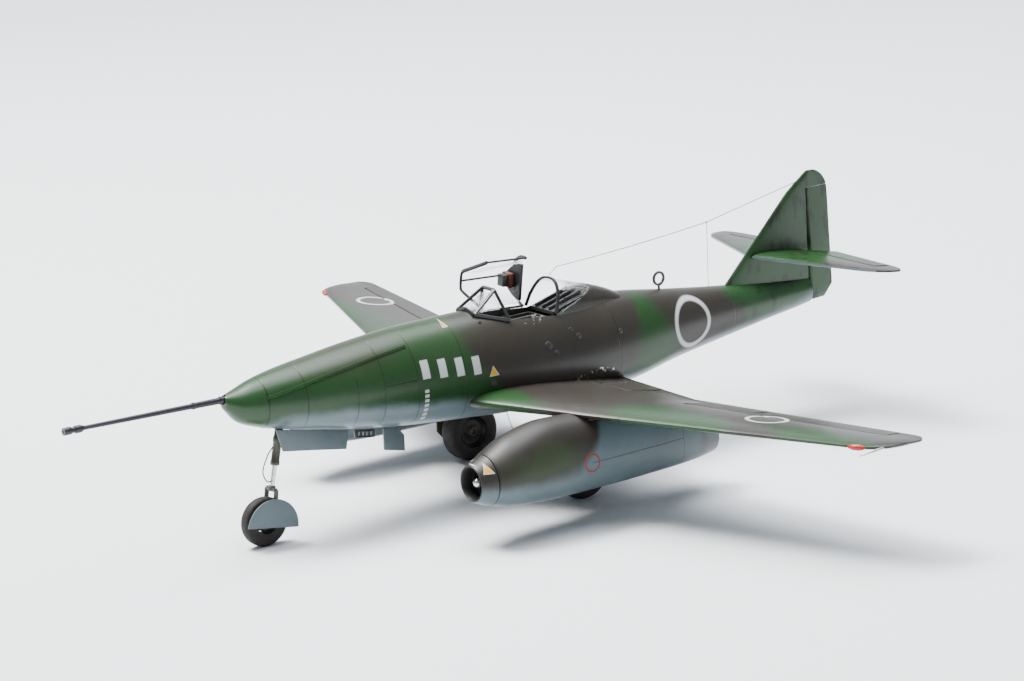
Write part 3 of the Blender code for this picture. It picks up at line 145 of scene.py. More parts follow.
def body_ring(y: float, grow: float = 0.0, sides: int = 96) -> np.ndarray:
    """Ring of the body's skin.

    Args:
        y: Place along the body.
        grow: Distance outside the skin.
        sides: Points in the ring.

    Returns:
        The ring's points.
    """
    top, bottom, half, waist, square = body_values(y)
    angle = 2 * math.pi * np.arange(sides) / sides
    up, out = np.cos(angle), np.sin(angle)
    height = np.where(up >= 0, top - waist, waist - bottom) + grow
    power = 2 / np.where(up < 0, square, 2 - (square - 2) * 0.35)
    x = (half + grow) * np.sign(out) * np.abs(out) ** power
    z = waist + height * np.sign(up) * np.abs(up) ** power
    return np.stack([x, np.full(sides, y), z], axis=1)


def skin_z(y: float, x: float, top: bool = True) -> float:
    """Height of the body's skin over a place, on its top or its underside."""
    high, low, half, waist, square = body_values(y)
    power = 2 - (square - 2) * 0.35 if top else square
    height = (1 - min(1.0, abs(x) / half) ** power) ** (1 / power)
    return waist + (high - waist if top else low - waist) * height


def skin_x(y: float, z: float) -> float:
    """Half width of the body's skin at a place and height."""
    high, low, half, waist, square = body_values(y)
    power = 2 - (square - 2) * 0.35 if z >= waist else square
    share = (z - waist) / (high - waist) if z >= waist else (waist - z) / (waist - low)
    return half * (1 - min(1.0, share) ** power) ** (1 / power)


def half_thickness(share: np.ndarray, thickness: float) -> np.ndarray:
    """Half thickness of the aerofoil, as a share of its chord."""
    s = np.clip(share, 0.0, 1.0)
    return 5 * thickness * (0.2969 * np.sqrt(s) - 0.1260 * s - 0.3516 * s ** 2
                            + 0.2843 * s ** 3 - 0.1015 * s ** 4)


def wing_chord(x: float) -> tuple[np.ndarray, np.ndarray]:
    """Leading and trailing edge points of the wing at a spanwise place.

    Args:
        x: Distance from the middle plane, either way.

    Returns:
        The leading edge point and the trailing edge point.
    """
    out, tip_round = abs(x) - BODY_SIDE_X, 0.26
    reach = HALF_SPAN - BODY_SIDE_X
    lead = np.array([x, WING_Y + WING_SWEEP * out, 1.454 + 0.015 * out])
    kink_x = NACELLE_X + 0.25
    root, kink = WING_Y + ROOT_CHORD, WING_Y + ROOT_CHORD - 0.235
    tip = WING_Y + WING_SWEEP * reach + TIP_CHORD
    if abs(x) <= kink_x:
        trail_y = root + (kink - root) * out / (kink_x - BODY_SIDE_X)
    else:
        trail_y = kink + (tip - kink) * (abs(x) - kink_x) / (HALF_SPAN - kink_x)
    trail = np.array([x, trail_y, 1.251 + 0.254 * out / reach])
    inward = (HALF_SPAN - abs(x)) / tip_round
    if inward < 1:
        bulge = 1 - math.sqrt(max(0.0, 1 - (1 - inward) ** 2))
        lead, trail = lead + (trail - lead) * 0.42 * bulge, trail + (lead - trail) * 0.24 * bulge
    return lead, trail


def wing_ring(x: float, which: str, grow: float = 0.0, count: int = 30) -> np.ndarray:
    """Ring of the wing at a spanwise place.

    Args:
        x: The spanwise place.
        which: "upper", "lower" or "both".
        grow: Distance outside the skin.
        count: Steps along the chord.

    Returns:
        The ring's points.
    """
    lead, trail = wing_chord(x)
    chord = trail - lead
    share = (abs(x) - BODY_SIDE_X) / (HALF_SPAN - BODY_SIDE_X)
    shares = np.append(1 - np.cos(np.pi * np.arange(count) / count / 2), 1.0)
    depth = np.maximum(half_thickness(shares, 0.11 - 0.02 * share) * np.linalg.norm(chord), EDGE / 2) + grow
    middle = lead + chord * shares[:, None]
    up = np.zeros_like(middle)
    up[:, 2] = depth
    if which == "both":
        return np.concatenate([middle + up, (middle - up)[:0:-1]])
    sign = 1.0 if which == "upper" else -1.0
    inner = middle[[-1, count // 2, 0]] + (0.0, 0.0, sign * 0.001)
    return np.concatenate([(middle + sign * up)[1:], inner])


def wing_places(start: float, end: float, step: float = 0.22) -> list[float]:
    """Spanwise places from start to end, closer together at a rounded tip."""
    low, high = min(start, end), max(start, end)
    places = set(np.round(np.linspace(low, high, max(3, round((high - low) / step))), 4))
    for sign in (1, -1):
        for share in (0.0, 0.2, 0.4, 0.6, 0.75, 0.85, 0.92, 0.97, 0.995):
            at = sign * (HALF_SPAN - 0.26 * (1 - share))
            if low < at < high:
                places.add(round(at, 4))
        for at in (sign * BODY_SIDE_X, sign * (NACELLE_X + 0.25)):
            if low < at < high:
                places.add(round(at, 4))
    return sorted(float(place) for place in places)


# ==== meshes ===================================================================================
def placed(name: str, data: bpy.types.ID) -> Piece:
    """A new object in the scene for a mesh, a curve, a light or a camera."""
    made = bpy.data.objects.new(name, data)
    bpy.context.scene.collection.objects.link(made)
    return made


def mend(mesh: bpy.types.Mesh, within: float) -> None:
    """Merge a mesh's doubles and turn its faces outwards."""
    bm = bmesh.new()
    bm.from_mesh(mesh)
    bmesh.ops.remove_doubles(bm, verts=bm.verts, dist=within)
    bmesh.ops.recalc_face_normals(bm, faces=bm.faces)
    bm.to_mesh(mesh)
    bm.free()


def add_piece(name: str, points: np.ndarray, faces: list[Sequence[int]],
              material: Optional[Material] = None, smooth: float = 35.0) -> Piece:
    """Make an object from full-size points.

    Args:
        name: The piece's name.
        points: Full-size points, one row each.
        faces: Point numbers of each face.
        material: Its finish, or None for a cutter.
        smooth: Edges sharper than this many degrees stay sharp.

    Returns:
        The new object, with its place in its mesh.
    """
    mesh = bpy.data.meshes.new(name)
    mesh.from_pydata([tuple(row) for row in to_model(points)], [], [tuple(face) for face in faces])
    mend(mesh, 1e-8)
    piece = placed(name, mesh)
    if material is not None:
        mesh.materials.append(material)
    finish_shading(piece, smooth)
    return piece


def finish_shading(piece: Piece, smooth: float = 35.0) -> None:
    """Shade a piece smooth, with its sharper edges kept sharp."""
    piece.data.shade_smooth()
    piece.data.set_sharp_from_angle(angle=math.radians(smooth))


def loft(name: str, rings: Sequence[np.ndarray], material: Optional[Material] = None,
         smooth: float = 35.0) -> Piece:
    """A closed body through rings of equal count, capped at both ends."""
    count, rows = len(rings[0]), len(rings)
    points = np.concatenate([np.asarray(ring) for ring in rings])
    faces: list[Sequence[int]] = []
    for r in range(rows - 1):
        for i in range(count):
            j = (i + 1) % count
            faces.append((r * count + i, r * count + j, (r + 1) * count + j, (r + 1) * count + i))
    faces.append(tuple(range(count)))
    faces.append(tuple(range((rows - 1) * count, rows * count)))
    return add_piece(name, points, faces, material, smooth)


def prism(name: str, outline: Sequence[Point], push: Point,
          material: Optional[Material] = None) -> Piece:
    """A flat outline pushed along a direction."""
    base = np.asarray(outline, float)
    count = len(base)
    faces: list[Sequence[int]] = [tuple(range(count)), tuple(range(count, 2 * count))]
    faces += [(i, (i + 1) % count, count + (i + 1) % count, count + i) for i in range(count)]
    return add_piece(name, np.concatenate([base, base + np.asarray(push, float)]), faces, material, 30.0)


def block(name: str, low: Point, high: Point, material: Optional[Material] = None,
          round_off: float = 0.0) -> Piece:
    """A box between two corners, with rounded edges if asked."""
    (x0, y0, z0), (x1, y1, z1) = low, high
    piece = prism(name, [(x0, y0, z0), (x1, y0, z0), (x1, y1, z0), (x0, y1, z0)], (0, 0, z1 - z0), material)
    if round_off:
        soften(piece, round_off)
    return piece


def soften(piece: Piece, width: float, segments: int = 3) -> Piece:
    """Round a piece's sharp edges by a full-size width."""
    step = piece.modifiers.new("rounded edges", "BEVEL")
    step.width, step.segments, step.limit_method = width * SCALE, segments, "ANGLE"
    step.angle_limit = math.radians(35)
    return settle(piece, 60.0)


def settle(piece: Piece, smooth: float = 35.0) -> Piece:
    """Make a piece's modifiers part of its mesh."""
    graph = bpy.context.evaluated_depsgraph_get()
    mesh = bpy.data.meshes.new_from_object(piece.evaluated_get(graph))
    piece.modifiers.clear()
    piece.data = mesh
    finish_shading(piece, smooth)
    return piece


def carve(piece: Piece, cutters: Sequence[Piece], operation: str = "DIFFERENCE",
          smooth: float = 35.0, keep: bool = False) -> Piece:
    """Cut a piece with others, or join them into it.

    Args:
        piece: The piece that stays.
        cutters: Bodies to cut with or to join.
        operation: A Boolean operation's name.
        smooth: Sharp edge angle of the result.
        keep: Whether the cutters are needed again.

    Returns:
        The piece, with the cuts in its mesh.
    """
    for cutter in cutters:
        step = piece.modifiers.new("cut", "BOOLEAN")
        step.operation, step.solver, step.object = operation, "EXACT", cutter
    settle(piece, smooth)
    if not keep:
        for cutter in cutters:
            bpy.data.objects.remove(cutter, do_unlink=True)
    return piece


def turned(name: str, profile: Sequence[tuple[float, float]], centre: Point, axis: Point,
           material: Optional[Material] = None, sides: int = 72, smooth: float = 35.0) -> Piece:
    """A body of revolution from (distance along the axis, radius) points of a closed profile.

    Args:
        name: The piece's name.
        profile: Distance along the axis and radius of each corner.
        centre: The profile's origin.
        axis: The direction of the axis.
        material: The piece's finish.
        sides: How many facets go round.
        smooth: Edges flatter than this angle, in degrees, are shaded smooth.

    Returns:
        The turned piece.
    """
    aim = Vector(axis).normalized()
    out = aim.orthogonal().normalized()
    other = aim.cross(out)
    turns = np.arange(sides) * 2 * math.pi / sides
    spokes = np.cos(turns)[:, None] * np.array(out) + np.sin(turns)[:, None] * np.array(other)
    shape = np.asarray(profile, float)
    points = (np.asarray(centre, float) + np.array(aim) * shape[None, :, :1] + spokes[:, None,
                                                                                      :] * shape[None, :,
                                                                                                 1:])
    count = len(shape)
    faces: list[Sequence[int]] = []
    for i in range(sides):
        near, far = i * count, ((i + 1) % sides) * count
        for k in range(count):
            m = (k + 1) % count
            if shape[k, 1] < 1e-9 and shape[m, 1] < 1e-9:
                continue
            if shape[k, 1] < 1e-9:
                faces.append((near + k, near + m, far + m))
            elif shape[m, 1] < 1e-9:
                faces.append((near + k, near + m, far + k))
            else:
                faces.append((near + k, near + m, far + m, far + k))
    return add_piece(name, points.reshape(-1, 3), faces, material, smooth)


def rod(name: str, start: Point, end: Point, radius: float, material: Optional[Material] = None,
        end_radius: Optional[float] = None, sides: int = 40, lip: float = 0.0) -> Piece:
    """A round rod or cone between two points, its end edges rounded by lip."""
    a, b = Vector(start), Vector(end)
    length, last = (b - a).length, radius if end_radius is None else end_radius
    profile = [(0.0, 0.0), (0.0, radius - lip), (lip, radius), (length - lip, last), (length, last - lip),
               (length, 0.0)]
    return turned(name, list(dict.fromkeys(profile)), a, b - a, material, sides)


def wire(name: str, points: Sequence[Point], radius: float, material: Material,
         resolution: int = 3) -> Piece:
    """A bent round bar along a chain of full-size points.

    Args:
        name: The piece's name.
        points: The middle line's points.
        radius: The bar's radius.
        material: The bar's finish.
        resolution: How round the bar's section is.

    Returns:
        The bar.
    """
    curve = bpy.data.curves.new(name, "CURVE")
    curve.dimensions, curve.bevel_depth, curve.bevel_resolution = "3D", radius * SCALE, resolution
    curve.use_fill_caps = True
    line = curve.splines.new("POLY")
    line.points.add(len(points) - 1)
    for target, point in zip(line.points, to_model(points)):
        target.co = (*point, 1.0)
    drawn = placed(name, curve)
    graph = bpy.context.evaluated_depsgraph_get()
    mesh = bpy.data.meshes.new_from_object(drawn.evaluated_get(graph))
    bpy.data.objects.remove(drawn, do_unlink=True)
    mend(mesh, 1e-7)
    mesh.materials.clear()
    mesh.materials.append(material)
    piece = placed(name, mesh)
    finish_shading(piece, 50.0)
    return piece


def flat_bar(name: str, points: Sequence[Point], outward: Sequence[Point], width: float, depth: float,
             material: Material, closed: bool = False) -> Piece:
    """A flat bar along a chain of points.

    Args:
        name: The piece's name.
        points: The bar's middle line.
        outward: Direction its flat side faces at each point.
        width: Its width across the flat side.
        depth: Its thickness.
        material: Its finish.
        closed: Whether the bar comes back to its start.

    Returns:
        The bar, with rounded edges.
    """
    line = np.asarray(points, float)
    facing = np.asarray(outward, float)
    along = np.gradient(line, axis=0) if not closed else np.roll(line, -1, 0) - np.roll(line, 1, 0)
    along /= np.linalg.norm(along, axis=1, keepdims=True)
    facing = facing - along * (facing * along).sum(1, keepdims=True)
    facing /= np.linalg.norm(facing, axis=1, keepdims=True)
    across = np.cross(along, facing)
    shape = [(0.5, 0.32), (0.42, 0.5), (-0.42, 0.5), (-0.5, 0.32), (-0.5, -0.32), (-0.42, -0.5),
             (0.42, -0.5), (0.5, -0.32)]
    rings = [np.array([point + a * width * u + n * depth * v for u, v in shape])
             for point, a, n in zip(line, across, facing)]
    if closed:
        rings.append(rings[0])
    return loft(name, rings, material, 40.0)


def rounded_path(points: Sequence[Point], steps: int = 6) -> np.ndarray:
    """A smooth curve through points, with a number of steps between each two."""
    p = np.asarray(points, float)
    padded = np.concatenate([[2 * p[0] - p[1]], p, [2 * p[-1] - p[-2]]])
    rows = []
    for i in range(len(p) - 1):
        a, b, c, d = padded[i:i + 4]
        for t in np.arange(steps) / steps:
            rows.append(0.5 * ((2 * b) + (c - a) * t + (2 * a - 5 * b + 4 * c - d) * t ** 2
                               + (3 * b - a - 3 * c + d) * t ** 3))
    rows.append(p[-1])
    return np.array(rows)


def joined(name: str, pieces: Sequence[Piece]) -> Piece:
    """Put several pieces of one finish into one object."""
    bm = bmesh.new()
    for piece in pieces:
        bm.from_mesh(piece.data)
    mesh = pieces[0].data.copy()
    bm.to_mesh(mesh)
    bm.free()
    whole = placed(name, mesh)
    for piece in pieces:
        bpy.data.objects.remove(piece, do_unlink=True)
    finish_shading(whole, 40.0)
    return whole


# ==== shader groups ============================================================================
class Sheet:
    """A node tree being written: adds nodes and joins them."""

    def __init__(self, tree: Tree) -> None:
        """Write into a node tree."""
        self.tree = tree

    def node(self, kind: str, ins: Optional[dict] = None, **settings: object) -> Node:
        """Add a node.

        Args:
            kind: The node's type name.
            ins: Values or sockets for its inputs, by name or number.
            **settings: The node's own properties.

        Returns:
            The node.
        """
        made = self.tree.nodes.new(kind)
        for key, value in settings.items():
            setattr(made, key, value)
        for key, value in (ins or {}).items():
            self.feed(made.inputs[key], value)
        return made

    def feed(self, target: Socket, value: object) -> None:
        """Join a socket to an input, or set the input's value."""
        if isinstance(value, Socket):
            self.tree.links.new(value, target)
        elif target.type == "VECTOR":
            target.default_value = tuple(value)[:3]
        else:
            target.default_value = value

    def math(self, operation: str, *values: object, clamp: bool = False) -> Socket:
        """The result of a math node."""
        return self.node("ShaderNodeMath", dict(enumerate(values)), operation=operation,
                         use_clamp=clamp).outputs[0]

    def plus(self, *values: object, clamp: bool = False) -> Socket:
        """A sum."""
        return self.math("ADD", *values, clamp=clamp)

    def minus(self, *values: object) -> Socket:
        """A difference."""
        return self.math("SUBTRACT", *values)

    def times(self, *values: object, clamp: bool = False) -> Socket:
        """A product."""
        return self.math("MULTIPLY", *values, clamp=clamp)

    def vector(self, operation: str, *values: object) -> Socket:
        """The vector result of a vector math node."""
        return self.node("ShaderNodeVectorMath", dict(enumerate(values)),
                         operation=operation).outputs["Vector"]

    def ease(self, value: Socket, low: object, high: object, start: float = 0.0, end: float = 1.0) -> Socket:
        """A smooth step of a value between two limits."""
        ins = {"Value": value, "From Min": low, "From Max": high, "To Min": start, "To Max": end}
        return self.node("ShaderNodeMapRange", ins, interpolation_type="SMOOTHSTEP").outputs["Result"]

    def mix(self, share: object, first: object, second: object) -> Socket:
        """A mix of two colours."""
        made = self.node("ShaderNodeMix", data_type="RGBA")
        self.feed(made.inputs[0], share)
        self.feed(made.inputs[6], first)
        self.feed(made.inputs[7], second)
        return made.outputs[2]

    def noise(self, place: Socket, scale: float, detail: float = 3.0, rough: float = 0.55) -> Socket:
        """A noise value over a place."""
        ins = {"Vector": place, "Scale": scale, "Detail": detail, "Roughness": rough}
        return self.node("ShaderNodeTexNoise", ins).outputs[0]

    def group(self, tree: Tree, ins: dict) -> Node:
        """Add a shared group with its inputs."""
        made = self.tree.nodes.new("ShaderNodeGroup")
        made.node_tree = tree
        for key, value in ins.items():
            self.feed(made.inputs[key], value)
        return made


def new_group(name: str, inputs: dict[str, str], outputs: dict[str, str]) -> tuple[Tree, Sheet, dict, Node]:
    """Start a shared shader group.

    Args:
        name: The group's name.
        inputs: Socket kinds by input name.
        outputs: Socket kinds by output name.

    Returns:
        The tree, a sheet to write it with, its input sockets by name, and its output node.
    """
    tree = bpy.data.node_groups.new(name, "ShaderNodeTree")
    for way, sockets in (("INPUT", inputs), ("OUTPUT", outputs)):
        for label, kind in sockets.items():
            tree.interface.new_socket(label, in_out=way, socket_type=f"NodeSocket{kind}")
    given = tree.nodes.new("NodeGroupInput")
    result = tree.nodes.new("NodeGroupOutput")
    return tree, Sheet(tree), {socket.name: socket for socket in given.outputs}, result


def make_full_size_group() -> Tree:
    """Object coordinates as full-size metres from the nose tip."""
    tree, sheet, _, result = new_group("full size place", {},
                                       {"Place": "Vector", "X": "Float", "Y": "Float", "Z": "Float"})
    here = sheet.node("ShaderNodeTexCoord").outputs["Object"]
    place = sheet.node("ShaderNodeVectorMath", {0: here, 1: (1 / SCALE,) * 3, 2: (0.0, MIDDLE_Y, 0.0)},
                       operation="MULTIPLY_ADD").outputs["Vector"]
    parts = sheet.node("ShaderNodeSeparateXYZ", {0: place})
    sheet.feed(result.inputs["Place"], place)
    for axis in "XYZ":
        sheet.feed(result.inputs[axis], parts.outputs[axis])
    return tree


def make_patch_group() -> Tree:
    """A soft airbrushed patch: 1 inside an ellipsoid, 0 outside."""
    tree, sheet, given, result = new_group(
        "soft patch", {"Place": "Vector", "Centre": "Vector", "Radii": "Vector", "Softness": "Float"},
        {"Mask": "Float"})
    away = sheet.vector("DIVIDE", sheet.vector("SUBTRACT", given["Place"], given["Centre"]), given["Radii"])
    length = sheet.node("ShaderNodeVectorMath", {0: away}, operation="LENGTH").outputs["Value"]
    near = sheet.minus(1.0, given["Softness"])
    far = sheet.plus(1.0, given["Softness"])
    sheet.feed(result.inputs["Mask"], sheet.ease(length, near, far, 1.0, 0.0))
    return tree


def make_line_group() -> Tree:
    """A fine line where a value is near a place."""
    tree, sheet, given, result = new_group(
        "fine line", {"Value": "Float", "Line at": "Float", "Half width": "Float"}, {"Mask": "Float"})
    away = sheet.math("ABSOLUTE", sheet.minus(given["Value"], given["Line at"]))
    outer = sheet.times(given["Half width"], 1.6)
    inner = sheet.times(given["Half width"], 0.5)
    sheet.feed(result.inputs["Mask"], sheet.ease(away, inner, outer, 1.0, 0.0))
    return tree


def make_mark_group() -> Tree:
    """A plain rectangle painted on two coordinates."""
    tree, sheet, given, result = new_group(
        "plain mark", {"U": "Float", "V": "Float", "Centre": "Vector", "Half size": "Vector"},
        {"Mask": "Float"})
    centre = sheet.node("ShaderNodeSeparateXYZ", {0: given["Centre"]})
    half = sheet.node("ShaderNodeSeparateXYZ", {0: given["Half size"]})
    masks = []
    for label, axis in (("U", "X"), ("V", "Y")):
        away = sheet.math("ABSOLUTE", sheet.minus(given[label], centre.outputs[axis]))
        beyond = sheet.minus(away, half.outputs[axis])
        masks.append(sheet.ease(beyond, -0.008, 0.008, 1.0, 0.0))
    sheet.feed(result.inputs["Mask"], sheet.times(*masks))
    return tree


def make_grain_group() -> Tree:
    """Hand-brushed paint: tone, gloss and surface of a sprayed and handled coat."""
    tree, sheet, given, result = new_group(
        "paint grain", {"Place": "Vector", "Bump": "Float"}, {"Tone": "Float", "Gloss": "Float",
                                                              "Normal": "Vector"})
    broad = sheet.noise(given["Place"], 1.3, 4.0)
    fine = sheet.noise(given["Place"], 22.0, 5.0, 0.65)
    tone = sheet.plus(sheet.times(broad, 0.50), sheet.times(fine, 0.22))
    sheet.feed(result.inputs["Tone"], sheet.plus(tone, 0.64))
    sheet.feed(result.inputs["Gloss"], sheet.minus(sheet.times(fine, 0.24), 0.12))
    bump = sheet.node("ShaderNodeBump", {"Strength": given["Bump"], "Distance": 0.0004,
                                         "Height": sheet.noise(given["Place"], 24.0, 2.0)})
    sheet.feed(result.inputs["Normal"], bump.outputs["Normal"])
    return tree


def make_chip_group() -> Tree:
    """Small flakes of bare metal inside a patch of wear."""
    tree, sheet, given, result = new_group("paint chips", {"Place": "Vector", "Wear": "Float"},
                                           {"Mask": "Float"})
    flakes = sheet.noise(given["Place"], 19.0, 6.0, 0.7)
    limit = sheet.minus(0.86, sheet.times(given["Wear"], 0.29))
    high = sheet.plus(limit, 0.02)
    sheet.feed(result.inputs["Mask"], sheet.ease(flakes, limit, high))
    return tree


@dataclass
class PaintShop:
    """The shared shader groups."""

    place: Tree = field(default_factory=make_full_size_group)
    patch: Tree = field(default_factory=make_patch_group)
    line: Tree = field(default_factory=make_line_group)
    mark: Tree = field(default_factory=make_mark_group)
    grain: Tree = field(default_factory=make_grain_group)
    chips: Tree = field(default_factory=make_chip_group)

    def start(self, name: str) -> tuple[Material, Sheet, Node, Node]:
        """Start a material.

        Args:
            name: The material's name.

        Returns:
            The material, a sheet to write it with, its shader node and its full-size place node.
        """
        material = bpy.data.materials.new(name)
        material.use_nodes = True
        sheet = Sheet(material.node_tree)
        shader = material.node_tree.nodes["Principled BSDF"]
        return material, sheet, shader, sheet.group(self.place, {})


@dataclass(frozen=True)
class PlainFinish:
    """One paint or metal all over, with brushed grain and worn edges."""

    name: str
    colour: tuple[float, float, float]
    roughness: float = 0.55
    metallic: float = 0.0
    worn: tuple[float, float, float] = (0.35, 0.35, 0.34)
    wear: float = 0.0
    bump: float = 0.25

    def build(self, shop: PaintShop) -> Material:
        """Make the finish's material.

        Args:
            shop: The shared shader groups.

        Returns:
            The material.
        """
        material, sheet, shader, place = shop.start(self.name)
        grain = sheet.group(shop.grain, {"Place": place.outputs["Place"], "Bump": self.bump})
        colour = sheet.vector("SCALE", (*self.colour,))
        colour.node.inputs["Scale"].default_value = 1.0
        sheet.feed(colour.node.inputs["Scale"], grain.outputs["Tone"])
        if self.wear:
            ridge = sheet.node("ShaderNodeNewGeometry").outputs["Pointiness"]
            edge = sheet.ease(ridge, 0.52, 0.60)
            chips = sheet.group(shop.chips, {"Place": place.outputs["Place"], "Wear": self.wear})
            share = sheet.times(sheet.math("MAXIMUM", edge, chips.outputs["Mask"]), self.wear, clamp=True)
            colour = sheet.mix(share, colour, (*self.worn, 1.0))
        sheet.feed(shader.inputs["Base Color"], colour)
        sheet.feed(shader.inputs["Roughness"], sheet.plus(self.roughness, grain.outputs["Gloss"],
                                                          clamp=True))
        shader.inputs["Metallic"].default_value = self.metallic
        sheet.feed(shader.inputs["Normal"], grain.outputs["Normal"])
        return material


@dataclass(frozen=True)
class ClearFinish:
    """Clear moulded plastic."""

    name: str
    tint: tuple[float, float, float] = (0.93, 0.96, 0.97)

    def build(self, shop: PaintShop) -> Material:
        """Make the material: clear, with a faint haze of polish marks."""
        material, sheet, shader, place = shop.start(self.name)
        haze = sheet.noise(place.outputs["Place"], 14.0, 5.0, 0.7)
        sheet.feed(shader.inputs["Roughness"], sheet.ease(haze, 0.3, 0.9, 0.01, 0.10))
        sheet.feed(shader.inputs["Base Color"], sheet.mix(haze, (*self.tint, 1.0), (1.0, 1.0, 1.0, 1.0)))
        shader.inputs["Transmission Weight"].default_value = 1.0
        shader.inputs["IOR"].default_value = 1.12
        shader.inputs["Alpha"].default_value = 0.42
        return material


@dataclass(frozen=True)
class Patch:
    """An airbrushed patch of one colour."""

    centre: tuple[float, float, float]
    radii: tuple[float, float, float]
    softness: float = 0.22


GREEN = (0.0130, 0.0450, 0.0125)
# A lighter green used only as painted highlight, where light falls on the top of the body.
GREEN_PAINTED_HIGHLIGHT = (0.022, 0.052, 0.018)
BROWN = (0.0270, 0.0235, 0.0190)
OLIVE = (0.0210, 0.0330, 0.0130)
# Nacelle brown, darkened as painted shade from the wing above.
SHADED_BROWN = (0.0180, 0.0150, 0.0120)
DARK_BROWN = (0.0085, 0.0075, 0.0045)
PALE_BLUE = (0.118, 0.160, 0.174)
# Nacelle pale blue, darkened as painted shade from the wing above.
SHADED_BLUE = (0.072, 0.103, 0.114)
WHITE = (0.48, 0.50, 0.50)
YELLOW = (0.60, 0.33, 0.0)
SILVER = (0.50, 0.50, 0.48)


@dataclass(frozen=True)
class Camouflage:
    """Upper camouflage, pale underside, panel lines, wear, darker patches, patches of painted highlight and
    plain marks of one part of the skin.
    """

    name: str
    base: tuple[float, float, float] = GREEN
    patches: tuple[tuple[tuple[float, float, float], Patch], ...] = ()
    bands: tuple[tuple[tuple[float, float, float], float, float, float, float], ...] = ()
    under: tuple[tuple[float, float], ...] = ()
    under_softness: float = 0.07
    pale: tuple[float, float, float] = PALE_BLUE
    mottle: Optional[tuple[float, float]] = None
    rings: tuple[tuple[float, float, float], ...] = ()
    ribs: tuple[float, ...] = ()
    streaks: tuple[tuple[float, float, float], ...] = ()
    chipped: tuple[Patch, ...] = ()
    # Darker patches: exhaust soot, and a darker patch low on the nose side.
    sooted: tuple[Patch, ...] = ()
    # Patches of painted highlight: lighter green where the light falls.
    lit: tuple[Patch, ...] = ()
    side_marks: tuple[tuple[float, float, float, float], ...] = ()
    hoops: tuple[tuple[float, float, float, float, tuple[float, float, float]], ...] = ()
    triangles: tuple[tuple[float, float, float], ...] = ()
    hoop_plane: str = "YZ"
    roughness: float = 0.30

    def build(self, shop: PaintShop) -> Material:
        """Make the material.

        Args:
            shop: The shared shader groups.

        Returns:
            The material.
        """
        material, sheet, shader, place = shop.start(self.name)
        here = place.outputs["Place"]
        x, y, z = (place.outputs[axis] for axis in "XYZ")
        wander = sheet.vector("SUBTRACT", sheet.node("ShaderNodeTexNoise",
                                                     {"Vector": here, "Scale": 1.6,
                                                      "Detail": 3.0}).outputs["Color"],
                              (0.5, 0.5, 0.5))
        loose = sheet.node("ShaderNodeVectorMath", {0: wander, 1: (0.55, 0.55, 0.40), 2: here},
                           operation="MULTIPLY_ADD").outputs["Vector"]
        loose_parts = sheet.node("ShaderNodeSeparateXYZ", {0: loose})
        colour: object = (*self.base, 1.0)
        for paint, start, end, lean, soft in self.bands:
            along = sheet.plus(loose_parts.outputs["Y"], sheet.times(sheet.minus(z, 1.9), lean))
            mask = sheet.times(sheet.ease(along, start - soft, start + soft),
                               sheet.ease(along, end - soft, end + soft, 1.0, 0.0))
            colour = sheet.mix(mask, colour, (*paint, 1.0))
        for paint, patch in self.patches:
            colour = sheet.mix(self.masked(sheet, shop, loose, patch), colour, (*paint, 1.0))
        if self.mottle:
            start, strength = self.mottle
            stretched = sheet.vector("MULTIPLY", here, (1.0, 1.0, 0.45))
            spots = sheet.ease(sheet.noise(stretched, 5.6, 2.0), 0.53, 0.62)
            share = sheet.times(sheet.times(spots, strength), sheet.ease(y, start - 0.2, start + 0.3))
            colour = sheet.mix(share, colour, (*DARK_BROWN, 1.0))
        # Painted highlight: the lit patches are mixed towards a lighter green.
        for patch in self.lit:
            share = sheet.times(self.masked(sheet, shop, loose, patch), 0.5)
            colour = sheet.mix(share, colour, (*GREEN_PAINTED_HIGHLIGHT, 1.0))
        if self.under:
            colour = sheet.mix(self.below(sheet, z, y, wander), colour, (*self.pale, 1.0))
        grain = sheet.group(shop.grain, {"Place": here, "Bump": 0.03})
        shader.inputs["Specular IOR Level"].default_value = 0.36
        toned = sheet.node("ShaderNodeVectorMath", {0: colour, "Scale": grain.outputs["Tone"]},
                           operation="SCALE").outputs["Vector"]
        lines = self.panel_lines(sheet, shop, x, y, z)
        colour = sheet.mix(sheet.times(lines, 0.60), toned, (0.004, 0.005, 0.004, 1.0))
        colour = self.painted_marks(sheet, shop, colour, {"X": x, "Y": y, "Z": z})
        # Darker patches, mixed towards a dark brown.
        for patch in self.sooted:
            share = sheet.times(self.masked(sheet, shop, loose, patch), 0.55)
            colour = sheet.mix(share, colour, (0.020, 0.018, 0.014, 1.0))
        metal: object = 0.0
        for patch in self.chipped:
            wear = self.masked(sheet, shop, loose, patch)
            flakes = sheet.group(shop.chips, {"Place": here, "Wear": wear})
            share = sheet.times(flakes.outputs["Mask"], sheet.ease(wear, 0.05, 0.3))
            colour = sheet.mix(share, colour, (*SILVER, 1.0))
            metal = sheet.math("MAXIMUM", share, metal)
        sheet.feed(shader.inputs["Base Color"], colour)
        if self.chipped:
            sheet.feed(shader.inputs["Metallic"], metal)
        gloss = sheet.math("MULTIPLY_ADD", grain.outputs["Gloss"], 0.25, self.roughness)
        sheet.feed(shader.inputs["Roughness"], gloss)
        groove = sheet.node("ShaderNodeBump", {"Strength": 0.55, "Distance": 0.0001,
                                               "Height": sheet.minus(1.0, lines),
                                               "Normal": grain.outputs["Normal"]})
        sheet.feed(shader.inputs["Normal"], groove.outputs["Normal"])
        return material

    @staticmethod
    def masked(sheet: Sheet, shop: PaintShop, place: Socket, patch: Patch) -> Socket:
        """The mask of one airbrushed patch."""
        return sheet.group(shop.patch, {"Place": place, "Centre": patch.centre, "Radii": patch.radii,
                                        "Softness": patch.softness}).outputs["Mask"]

